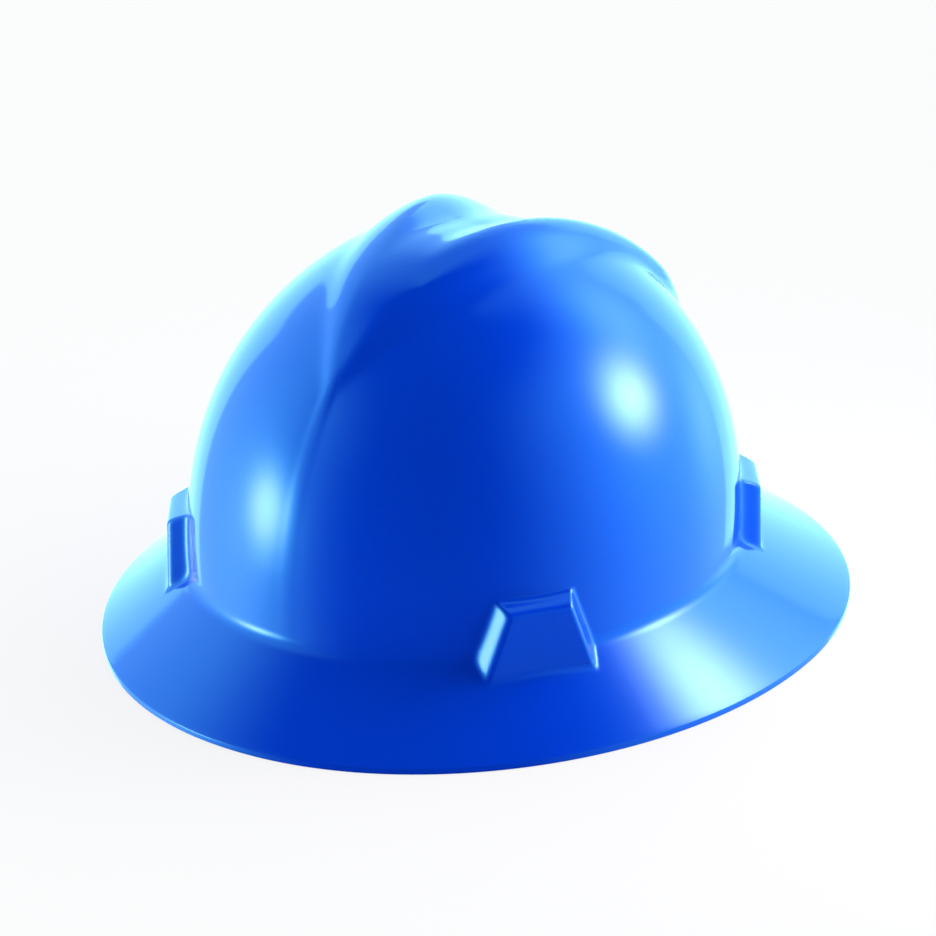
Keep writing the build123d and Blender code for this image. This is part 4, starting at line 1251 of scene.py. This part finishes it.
# %% Fill the pads
PAD_STEP = 1.6 * MM
PAD_LEAST_STEPS = 4
PAD_FRAMES = 16
PAD_PRESSURE = 60.0
PAD_SEAM_SHARE = 0.3
PAD_START_SHARE = 0.72


def pad_piece(name, place, length, height, thick, channels):
    """Closed pad between two sheets. Place turns shares along and up and a depth into a point."""
    columns = max(int(length / PAD_STEP) // channels, PAD_LEAST_STEPS) * channels
    rows = int(height / PAD_STEP)
    shape = bmesh.new()
    uv_map = shape.loops.layers.uv.new(CLOTH_MAP)
    sheets = []
    held = []
    for front in (False, True):
        sheet = []
        for column in range(columns + 1):
            line = []
            for row in range(rows + 1):
                edge = column in (0, columns) or row in (0, rows)
                if edge and front:
                    line.append(sheets[0][column][row])
                    continue
                sewn = column % (columns // channels) == 0
                share = PAD_SEAM_SHARE if edge or sewn else PAD_START_SHARE
                depth = thick * share if front or edge else 0.0
                vert = shape.verts.new(place(column / columns, row / rows, depth))
                line.append(vert)
                if edge or sewn or not front:
                    held.append(vert)
            sheet.append(line)
        sheets.append(sheet)
    for front, sheet in enumerate(sheets):
        for column in range(columns):
            for row in range(rows):
                steps = ((0, 0), (1, 0), (1, 1), (0, 1))
                corners = [sheet[column + a][row + b] for a, b in steps]
                face = shape.faces.new(corners if front else corners[::-1])
                face.smooth = True
                spots = [((column + a) / columns, (row + b) / rows) for a, b in steps]
                for loop, spot in zip(face.loops, spots if front else spots[::-1]):
                    loop[uv_map].uv = (spot[0] * length, spot[1] * height)
    bmesh.ops.recalc_face_normals(shape, faces=shape.faces)
    shape.verts.index_update()
    held = [vert.index for vert in held]
    return link_piece(name, keep_shape(name, shape), KNIT), held


def puff(piece, held, cap):
    """Blows the pad up with a short cloth simulation and caps how far each point moves."""
    group = piece.vertex_groups.new(name="sewn")
    group.add(held, 1.0, "REPLACE")
    cloth_sim = piece.modifiers.new("puff", "CLOTH")
    settings = cloth_sim.settings
    settings.quality = 6
    settings.mass = 0.02
    settings.tension_stiffness = 6.0
    settings.compression_stiffness = 6.0
    settings.shear_stiffness = 3.0
    settings.bending_stiffness = 0.02
    settings.vertex_group_mass = group.name
    settings.use_pressure = True
    settings.uniform_pressure_force = PAD_PRESSURE
    settings.effector_weights.gravity = 0.0
    cloth_sim.collision_settings.use_collision = False
    cloth_sim.point_cache.frame_start = 1
    cloth_sim.point_cache.frame_end = PAD_FRAMES
    for step in range(1, PAD_FRAMES + 1):
        bpy.context.scene.frame_set(step)
    shown = piece.evaluated_get(bpy.context.evaluated_depsgraph_get())
    moved = [vert.co.copy() for vert in shown.data.vertices]
    piece.modifiers.remove(cloth_sim)
    piece.vertex_groups.remove(group)
    bpy.context.scene.frame_set(1)
    most = 0.0
    for vert, place in zip(piece.data.vertices, moved):
        step = place - vert.co
        most = max(most, step.length)
        if step.length > cap:
            step *= cap / step.length
        vert.co += step
    print(piece.name, "moved up to", round(most / MM, 2), "mm, cap", round(cap / MM, 2), "mm")


def finish_pad(piece, held, thick, body, node):
    """Puffs and smooths a pad and puts it in its node's place."""
    puff(piece, held, thick * (1 - PAD_START_SHARE))
    smooth = piece.modifiers.new("smooth", "SUBSURF")
    smooth.levels = 1
    smooth.render_levels = 1
    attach(piece, body)
    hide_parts(node)


BAND_HALF_WIDTH = 76.0 * MM
BAND_HALF_LENGTH = 94.0 * MM
BAND_CENTRE = -10.0 * MM
BROW_INSET = 1.1 * MM
BROW_LOW = 9.0 * MM
BROW_HEIGHT = 25.0 * MM
BROW_LENGTH = 245.0 * MM
BROW_THICK = 4.0 * MM
BROW_CHANNELS = 8
BROW_START = 11.2
NAPE_HEIGHT = 19.5 * MM
ARC_CENTRE = 17.0 * MM
NAPE_PAD_RADIUS = 71.75 * MM
NAPE_PAD_HALF = 28.0 * MM
NAPE_PAD_HEIGHT = 22.0 * MM
NAPE_PAD_THICK = 3.2 * MM
NAPE_PAD_CHANNELS = 4
SEAM_LIFT = 0.1 * MM
SEAM_FOOT_SHARE = 0.08


def brow_place(share, up, depth):
    """Point of the brow pad on the inside of the headband's oval."""
    turn = radians(-180 + BROW_START + (180 - 2 * BROW_START) * share)
    half_width = BAND_HALF_WIDTH - BROW_INSET - depth
    half_length = BAND_HALF_LENGTH - BROW_INSET - depth
    return (
        half_width * cos(turn),
        BAND_CENTRE + half_length * sin(turn),
        BROW_LOW + BROW_HEIGHT * up,
    )


def nape_place(share, up, depth):
    """Point of the nape pad on the inside of the ratchet's arc."""
    turn = (2 * share - 1) * NAPE_PAD_HALF / NAPE_PAD_RADIUS
    radius = NAPE_PAD_RADIUS - depth
    height = NAPE_HEIGHT + (up - 0.5) * NAPE_PAD_HEIGHT
    return radius * sin(turn), ARC_CENTRE + radius * cos(turn), height


def pad_seams(place, thick, channels):
    """Lines of stitches along the channels, on the head's side."""
    depth = thick * PAD_SEAM_SHARE + SEAM_LIFT
    run = 1 - 2 * SEAM_FOOT_SHARE
    rises = [SEAM_FOOT_SHARE + run * step / SEAM_STEPS for step in range(SEAM_STEPS + 1)]
    spots = [channel / channels for channel in range(1, channels)]
    return [[place(spot, rise, depth) for rise in rises] for spot in spots]


def make_pad(node, body, place, length, height, thick, channels):
    pad, held = pad_piece(node + "_knit", place, length, height, thick, channels)
    finish_pad(pad, held, thick, body, node)
    sew(node + "_stitches", pad_seams(place, thick, channels), body)


BROW_SIZES = (BROW_LENGTH, BROW_HEIGHT, BROW_THICK, BROW_CHANNELS)
NAPE_PAD_SIZES = (2 * NAPE_PAD_HALF, NAPE_PAD_HEIGHT, NAPE_PAD_THICK, NAPE_PAD_CHANNELS)
make_pad("brow_pad", "root", brow_place, *BROW_SIZES)
make_pad("nape_pad", "nape", nape_place, *NAPE_PAD_SIZES)

# %% [markdown]
# ## The nape straps
# Each nape strap runs from its rivet at the side of the headband round to its rack. When the
# knob winds the racks in or out, the strap is pushed along and bends. A rigid node can't do
# that. Here the strap is a copy of the construction node's mesh, merged into one skin, with
# its sharp edges creased, in nylon, which keeps the node's shape and place.

# %% Copy the nape straps
SKIN_GAP = 0.005 * MM


def flexible_strap(name):
    shape = bmesh.new()
    shape.from_mesh(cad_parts[name].data)
    bmesh.ops.remove_doubles(shape, verts=shape.verts, dist=SKIN_GAP)
    mesh = keep_shape(name + "_flexible", shape)
    mark_sharp(mesh)
    piece = link_piece(name + "_flexible", mesh, NYLON)
    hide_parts(name)
    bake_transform(piece)


flexible_strap("left_nape_strap")
flexible_strap("right_nape_strap")
